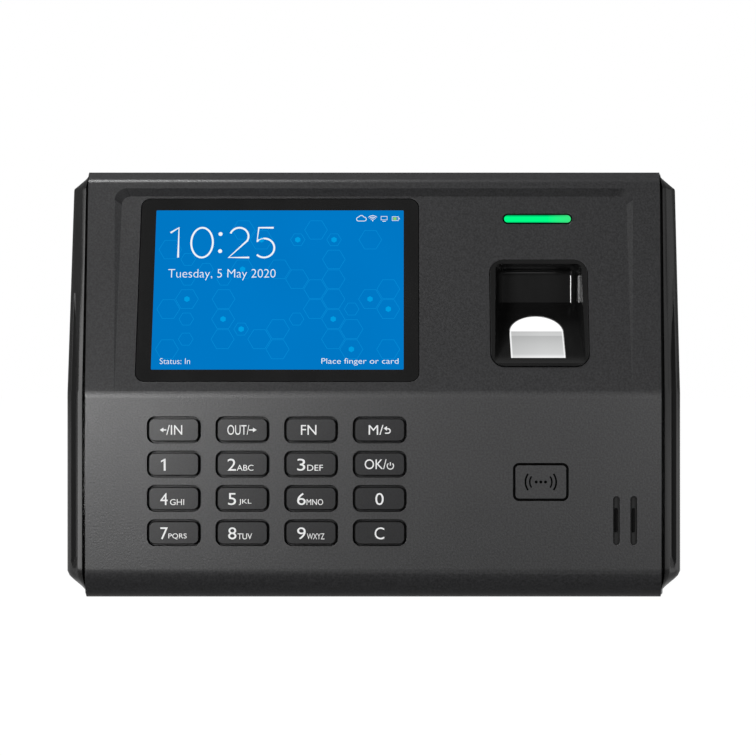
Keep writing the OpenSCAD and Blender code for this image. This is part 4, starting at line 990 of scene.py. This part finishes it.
@dataclass
class Keypad:
    """Sixteen caps with their printed legends."""

    width: float = 14.4
    height: float = 6.5
    corner: float = 1.7
    front: float = -40.8
    flange_front: float = -37.45
    flange_back: float = -36.45
    flange: float = 0.7
    stem_end: float = -34.8
    stem_root: float = 0.2
    stem: float = 2.6
    crown: float = 0.2
    ink: float = 0.38
    tall: Point = (-1.42, 1.42)
    digit_tall: Point = (-1.86, 1.6)
    small_tall: float = 1.7

    def cap(self) -> Object:
        """Model one cap about its own centre: face, flange and stem.

        Returns:
            The cap.
        """
        item = plate("cap", self.width, self.height, self.corner, self.front, self.flange_front, self.crown)
        pick(item, "FACE", lambda mid, way: way.y > 0.9)
        bpy.ops.mesh.extrude_region_move()
        wide, tall = ((size + 2 * self.flange) / size for size in (self.width, self.height))
        bpy.ops.transform.resize(value=(wide, 1, tall))
        thick = (self.flange_back - self.flange_front) * MM
        bpy.ops.mesh.extrude_region_move(TRANSFORM_OT_translate={"value": (0, thick, 0)})
        stem = disc(0, 0, self.stem / 2, 32, self.flange_back - self.stem_root, self.stem_end)
        modify(item, "BOOLEAN", object=stem, operation="UNION", solver="EXACT")
        bpy.data.objects.remove(stem)
        smooth(item, 40)
        return item

    def sign(self, kind: Sign | None) -> list[Object]:
        """Draw a sign about a key's own centre.

        Args:
            kind: The sign, or nothing.

        Returns:
            Its parts.
        """
        ink = self.ink
        low, high = self.digit_tall
        if kind is Sign.BACK:
            return arrow(-4.0, -2.1, 1.05, ink)
        if kind is Sign.ONWARD:
            return arrow(4.15, 1.95, 1.05, ink)
        if kind is Sign.RETURN:
            hook = [(1.9, 0.35), *arc(2.4, -0.3, 0.65, 80, -90), (1.55, -0.95)]
            return [stroke(hook, ink), patch([(1.15, 0.45), (2.1, 1.1), (2.1, -0.3)])]
        if kind is Sign.POWER:
            ring = arc(3.1, -0.5, 0.92, 130, 410, 24)
            return [stroke(path, 0.8 * ink) for path in (ring, [(3.1, 0.6), (3.1, -0.4)])]
        if kind is Sign.ONE:
            flag = [(-2.62, high), (-2.62, high - 0.55), (-3.65, high - 1.05), (-3.65, high - 0.6)]
            stem = [(-2.3, low), (-2.3, high), (-2.7, high), (-2.86, high - 0.5), (-2.86, low)]
            return [patch(flag), patch(stem)]
        return []

    def print_legend(self, key: str, legend: Legend) -> Object:
        """Draw one key's legend about the key's own centre.

        Args:
            key: Name of the key.
            legend: What it says.

        Returns:
            The legend.
        """
        low, high = self.digit_tall if len(legend.words) == 1 else self.tall
        parts = self.sign(legend.sign)
        if legend.words:
            parts.append(words(legend.words, *legend.box, low, high))
        if legend.small:
            parts.append(words(legend.small, *legend.small_box, low, low + self.small_tall))
        return join(f"legend_{key}", parts)

    def build(self) -> None:
        """Model the caps and legends and set each on its own body."""
        pattern = self.cap()
        for key, legend in LEGENDS.items():
            low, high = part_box(key)
            x, z = (low.x + high.x) / 2 / MM, (low.z + high.z) / 2 / MM
            cap = add(f"cap_{key}", pattern.data.copy())
            lay(cap, Plane.CASE, x, 0, z)
            finish(cap, key, "key_grey", Look.KEY, key)
            # The caps' sides are painted black: painted shade that darkens the gap round each key.
            overlay(cap, Look.BLACK_AND_SHADE, lambda mid, way: way.y > ON_FACE)
            writing = self.print_legend(key, legend)
            lay(writing, Plane.CASE, x, self.front - PRINT_DEPTH / 2, z)
            finish(writing, key, "plunger_white", Look.LEGEND)
        bpy.data.objects.remove(pattern)


@dataclass
class Display:
    """Cover glass with the lit picture, laid flat on the sunk panel."""

    x: float = -27.9
    up: float = 32.1
    width: float = 82.2
    height: float = 56.9
    corner: float = 2.7
    crown: float = 0.12
    face: float = 0.1
    back: float = 1.6
    view_width: float = 73.4
    view_height: float = 49.6
    lifts: tuple[float, ...] = (0.02, 0.022, 0.024, 0.026)
    seed: int = 11
    cell: float = 6.2
    cell_margin: float = 3.6
    cell_sizes: Triple = (0.94, 0.94, 0.6)
    cell_line: float = 0.14
    empty_share: float = 0.55
    filled_from: float = 0.9
    spot: float = 0.9
    clock_line: float = 0.55
    clock_top: float = -5.5
    clock_low: float = -14.9
    icon_line: float = 0.2
    icon_pitch: float = 3.4
    icon_down: float = 2.6

    def from_corner(self, left: float, down: float) -> Point:
        """Turn a place from the picture's upper left corner into one from its centre."""
        return left - self.view_width / 2, self.view_height / 2 - down

    def show(self, name: str, parts: Sequence[Object], look: Look, layer: int) -> None:
        """Join parts of the picture and lay them on the glass.

        Args:
            name: Name of the piece.
            parts: Its parts.
            look: Its finish.
            layer: Its layer above the glass.
        """
        item = join(name, parts)
        lay(item, Plane.PANEL, self.x, self.face - self.lifts[layer], self.up)
        finish(item, CASE_BODY, "screen", look)

    def cells(self) -> tuple[list[Object], list[Object]]:
        """Draw the faint backdrop of six-sided cells.

        Returns:
            The cells' outlines and the filled cells.
        """
        rng = random.Random(self.seed)
        wide, tall = (size / 2 - self.cell_margin for size in (self.view_width, self.view_height))
        outlines, filled = [], []
        for column in range(-6, 7):
            for row in range(-4, 5):
                x = column * self.cell * 0.866
                z = (row + 0.5 * (column % 2)) * self.cell
                draw = rng.random()
                if abs(x) >= wide or abs(z) >= tall or draw < self.empty_share:
                    continue
                radius = self.cell * 0.577 * rng.choice(self.cell_sizes)
                outlines.append(stroke(arc(x, z, radius, 0, 300, 5), self.cell_line, True))
                if draw > self.filled_from:
                    filled.append(disc(x, z, self.spot, 6))
        return outlines, filled

    def clock(self) -> list[Object]:
        """Draw the large thin hour and minutes.

        Returns:
            Their strokes and dots.
        """
        top, low = self.clock_top, self.clock_low
        mid, half = (top + low) / 2, (top - low) / 2
        turn = [math.radians(a) for a in range(0, 360, 10)]
        strokes = (
            ([(4.4, top - 1.6), (6.85, top), (6.85, low)], False),
            ([(13.8 + 3.2 * math.cos(a), mid + half * math.sin(a)) for a in turn], True),
            ([*arc(24.75, top - 2.75, 2.75, 160, -30), (21.75, low), (27.85, low)], False),
            ([(34.9, top), (30.5, top), (30.05, low + 5.1), *arc(32.2, low + 3, 3, 135, -135, 20)], False),
        )
        parts = [stroke([self.from_corner(x, -z) for x, z in path], self.clock_line, closed)
                 for path, closed in strokes]
        return parts + [disc(*self.from_corner(19.2, -z), 0.6) for z in (mid + 2.7, mid - 2.7)]

    def icons(self) -> list[Object]:
        """Draw the small signs at the picture's upper right: cloud, waves, screen and battery.

        Returns:
            Their parts.
        """
        x, z = self.from_corner(self.view_width - 12.6, self.icon_down)
        waves, screen, cell = (x + self.icon_pitch * i for i in (1, 2, 3))
        cloud = arc(x - 0.75, z - 0.15, 0.62, 270, 110, 8) + arc(x + 0.05, z + 0.25, 0.75, 150, 20, 8)
        cloud += arc(x + 0.9, z - 0.15, 0.62, 80, -90, 8)
        closed = [cloud]
        for left, right, low, high in ((screen - 0.9, screen + 0.9, z - 0.4, z + 0.7),
                                       (cell - 1, cell + 0.8, z - 0.62, z + 0.62)):
            closed.append([(left, high), (right, high), (right, low), (left, low)])
        opened = [arc(waves, z - 0.8, radius, 135, 45, 8) for radius in (0.75, 1.25, 1.75)]
        opened.append([(screen - 0.5, z - 0.85), (screen + 0.5, z - 0.85)])
        opened.append([(cell + 1.1, z + 0.25), (cell + 1.1, z - 0.25)])
        parts = [stroke(path, self.icon_line, True) for path in closed]
        parts += [stroke(path, self.icon_line) for path in opened]
        return parts + [disc(waves, z - 0.65, 0.2, 12)]

    def build(self) -> None:
        """Model the glass and everything that it shows."""
        glass = plate("cover_glass", self.width, self.height, self.corner, self.face, self.back, self.crown)
        smooth(glass, 35)
        lay(glass, Plane.PANEL, self.x, 0, self.up)
        finish(glass, CASE_BODY, "dark_glass", Look.GLASS, "display_glass")
        # The glass's rounded edge is painted black: painted shade that hides its highlight.
        inwards = Plane.PANEL.value.col[1].to_3d()
        overlay(glass, Look.BLACK_AND_SHADE, lambda mid, way: way.dot(inwards) > ON_FACE)
        picture = plate("picture", self.view_width, self.view_height, 0.3, 0, 0.05)
        self.show("picture", [picture], Look.SCREEN, 0)
        outlines, filled = self.cells()
        self.show("picture_cells", outlines, Look.PATTERN, 1)
        self.show("picture_spots", filled, Look.SPOT, 2)
        left, down = self.from_corner(4.1, 21.3)
        date = words("Tuesday, 5 May 2020", left, left + 31.6, down - 0.75, down + 2.75, -0.05)
        self.show("picture_clock", self.clock() + [date], Look.WRITING, 3)
        self.show("picture_signs", self.icons(), Look.WRITING, 3)
        left, low = self.from_corner(2.5, self.view_height - 1.7)
        state = words("Status: In", left, left + 8.8, low, low + 1.75, -0.02)
        right = self.view_width / 2 - 1.5
        hint = words("Place finger or card", right - 22.4, right, low - 0.45, low + 1.75, -0.02)
        self.show("picture_captions", [state, hint], Look.WRITING, 3)
        x, z = self.from_corner(self.view_width - 2.6, self.icon_down)
        charge = plate("charge", 0.95, 0.8, 0.05, -PRINT_DEPTH, PRINT_DEPTH)
        lay(charge, Plane.CASE, x, 0, z)
        self.show("picture_charge", [charge], Look.CHARGE, 3)


@dataclass
class Sensor:
    """Finger recess with its window, and the status light above it."""

    lens_depth: float = 0.9
    corner_depth: float = 13

    @staticmethod
    def depth(mid: Vector) -> float:
        """Give a place's depth under the sunk panel."""
        return (Plane.PANEL.value.inverted() @ (mid * MM)).y / MM

    def in_corner(self, mid: Vector, way: Vector) -> bool:
        """Tell if a face of the bezel lies in the left upright corner at the back of the recess."""
        return self.depth(mid) > self.corner_depth and 0.15 < way.x < 0.95

    def build(self) -> None:
        """Model the bezel, the window and the light bar."""
        bezel = soften("sensor_bezel", "finger_bezel", 0.2, "bezel_gloss", Look.BEZEL)
        # The recess's left back corner is painted black: painted shade that damps a highlight line there.
        overlay(bezel, Look.BLACK_AND_SHADE, self.in_corner)
        # The window's glow is a painted reflection, with painted shade in its lower part.
        soften("sensor_window", "finger_window", 0.15, "sensor_glass", Look.WINDOW)
        light = soften("status_light_pipe", "light_bar", 0.25, "green_light", Look.LIGHT)
        # The light pipe's sides below its lens are painted black: painted shade in the gap round the light.
        overlay(light, Look.BLACK_AND_SHADE, lambda mid, way: self.depth(mid) > self.lens_depth)


@dataclass
class CardMark:
    """Printed frame with a wave sign on the lower panel."""

    x: float = 48.5
    z: float = -28.8
    width: float = 15.4
    height: float = 10.3
    corner: float = 1.4
    line: float = 0.75
    dots: Triple = (-1.34, 0, 1.34)
    dot: float = 0.44
    waves: tuple[Point, ...] = ((2.75, 0.46), (4.0, 0.52))
    wave_shift: float = 0.45
    wave_angle: float = 36

    def outline(self) -> list[Point]:
        """Draw the frame's rounded outline.

        Returns:
            Its points.
        """
        x, z = self.width / 2 - self.corner, self.height / 2 - self.corner
        return [point for turn, (sx, sz) in enumerate(((1, 1), (-1, 1), (-1, -1), (1, -1)))
                for point in arc(sx * x, sz * z, self.corner, 90 * turn, 90 * turn + 90, 8)]

    def build(self) -> None:
        """Draw the mark."""
        parts = [stroke(self.outline(), self.line, True)]
        parts += [disc(x, 0, self.dot, 16) for x in self.dots]
        for side, centre in ((0, self.wave_shift), (180, -self.wave_shift)):
            for radius, line in self.waves:
                path = arc(centre, 0, radius, side - self.wave_angle, side + self.wave_angle, 14)
                parts.append(stroke(path, line))
        mark = join("card_mark", parts)
        lay(mark, Plane.LOWER, self.x, -PRINT_DEPTH / 2, self.z)
        finish(mark, CASE_BODY, "inner_black", Look.MARK)


@dataclass
class Inside:
    """Boards, sockets and fasteners that keep their solids and get better finishes."""

    slots: dict[Look, tuple[str, ...]] = field(default_factory=lambda: {
        Look.BLACK_AND_SHADE: ("screen", "inner_black", "speaker_black"),
        Look.STEEL: ("thin_steel",),
        Look.WHITE: ("led_white", "plunger_white", "ribbon_white"),
        Look.BOARD: ("board_green",),
        Look.BRIGHT: ("cell_metal", "socket_metal", "screw_steel"),
        Look.TERMINAL: ("terminal_green",),
    })

    def build(self) -> None:
        """Dress every solid whose material slot is listed."""
        for row in frame["record"]["subparts"]:
            for look in (one for one, slots in self.slots.items() if row["material_slot"] in slots):
                data = frame["nodes"][row["node"]].data
                data.materials.clear()
                data.materials.append(dressed(look))
                LOG.info("%s: %s", row["node"], look.value.name)


@dataclass(frozen=True)
class Lamp:
    """A soft rectangular lamp: its place, aim and size in metres, and its power in watts."""

    name: str
    place: Triple
    aim: Triple
    size: Point
    power: float

    def hang(self) -> None:
        """Put the lamp into the scene."""
        data = bpy.data.lights.new(self.name, "AREA")
        data.shape = "RECTANGLE"
        data.size, data.size_y = self.size
        data.energy = self.power
        way = Vector(self.aim) - Vector(self.place)
        turn = way.to_track_quat("-Z", "Y").to_matrix().to_4x4()
        add(self.name, data).matrix_world = Matrix.Translation(self.place) @ turn


LAMPS = (
    Lamp("key", (-0.3, -0.92, 0.1), (-0.06, -0.04, -0.02), (0.2, 0.2), 4.4),
    Lamp("fill", (0.42, -0.92, 0.06), (0.05, -0.04, -0.02), (0.26, 0.2), 1.8),
    Lamp("top", (-0.22, -0.28, 0.7), (-0.02, -0.02, 0.05), (0.1, 0.25), 3.0),
    Lamp("left", (-0.8, 0.04, 0.09), (-0.08, -0.03, 0.03), (0.2, 0.5), 0.7),
    Lamp("right", (0.8, 0.33, 0.08), (0.08, -0.02, 0.03), (0.24, 0.6), 0.13),
    Lamp("strip", (0.8, 0.04, 0.09), (0.08, -0.03, 0.03), (0.2, 0.5), 0.13),
    Lamp("edge_-1", (-0.8, -0.26, 0.45), (0.075, -0.03, 0.03), (0.15, 0.3), 0.23),
    Lamp("edge_1", (0.8, -0.26, 0.45), (-0.075, -0.03, 0.03), (0.15, 0.3), 0.23),
)


@dataclass
class Studio:
    """Floor, soft lights and the camera."""

    focal_px: float = 2214
    image_px: float = 756
    sensor: float = 36
    eye: Triple = (9.2, -680.6, -0.74)
    middle_px: Point = (405, 385)
    floor_z: float = -260
    floor_tones: Point = (0.48, 0.52)
    floor_glow: float = 1.16
    floor_white: float = 0.85
    floor_mirrored: tuple[float, ...] = (0.06, 0.4, -0.1, 0.5)
    behind_mirrored: tuple[float, ...] = (0.11, 0.25, 0.9, 1.0)
    above_mirrored: tuple[float, ...] = (0.11, 0.33, 0.75, 1.0)
    even_light: float = 0.25

    def camera(self) -> None:
        """Set the camera where the photograph was taken from."""
        data = bpy.data.cameras.new("camera")
        data.sensor_fit = "HORIZONTAL"
        data.sensor_width = self.sensor
        data.lens = self.focal_px / self.image_px * self.sensor
        data.clip_start, data.clip_end = 0.01, 50
        half = self.image_px / 2
        data.shift_x = -(self.middle_px[0] - half) / self.image_px
        data.shift_y = (self.middle_px[1] - half) / self.image_px
        item = add("camera", data)
        item.location = [c * MM for c in self.eye]
        item.rotation_euler = (QUARTER, 0, 0)
        bpy.context.scene.camera = item

    def world(self) -> None:
        """Make a white background that is dim where the front would mirror it, and a dim even light."""
        world = bpy.context.scene.world = bpy.data.worlds.new("studio")
        graph = Graph(world, "Background", "Generated")
        behind = graph.span(graph.across("Y"), *self.behind_mirrored)
        above = graph.span(graph.across("Z"), *self.above_mirrored)
        level = graph.seen(self.even_light, graph.reckon("MAXIMUM", behind, above), 1.0)
        graph.fix(Strength=level, Color=PAPER)

    def floor(self) -> None:
        """Lay a pale floor that keeps soft shadows."""
        take()
        bpy.ops.mesh.primitive_plane_add(size=80, location=(0, 0, self.floor_z * MM))
        item = bpy.context.object
        item.name = "floor"
        graph = Graph.new("floor_pale")
        dark, pale = ((tone, tone, tone) for tone in self.floor_tones)
        tone = graph.ramp(graph.noise(60, 3), (NOISE_LOW, dark), (NOISE_HIGH, pale))
        graph.fix(Base_Color=tone, Roughness=0.9, Specular_IOR_Level=0.1)
        behind = graph.span(graph.across("Y"), *self.floor_mirrored)
        glow = graph.add("ShaderNodeEmission", {"Strength": graph.seen(0.0, behind, self.floor_glow)})
        sources = {"Fac": graph.seen(0.0, 1.0, self.floor_white), 1: graph.shader.outputs["BSDF"],
                   2: glow.outputs["Emission"]}
        mix = graph.add("ShaderNodeMixShader", sources)
        graph.put(mix.outputs["Shader"], graph.tree.nodes["Material Output"].inputs["Surface"])
        item.data.materials.append(graph.owner)

    def build(self) -> None:
        """Set the stage, the lights and the camera."""
        bpy.context.scene.view_settings.view_transform = "Standard"
        self.world()
        self.floor()
        self.camera()
        for lamp in LAMPS:
            lamp.hang()


def main() -> None:
    """Build the terminal's pieces and the studio."""
    logging.basicConfig(level=logging.INFO, format="%(name)s %(message)s")
    for assembly in (Case(), Keypad(), Display(), Sensor(), CardMark(), Inside(), Studio()):
        LOG.info("building %s", type(assembly).__name__)
        assembly.build()


if __name__ == "__main__":
    main()
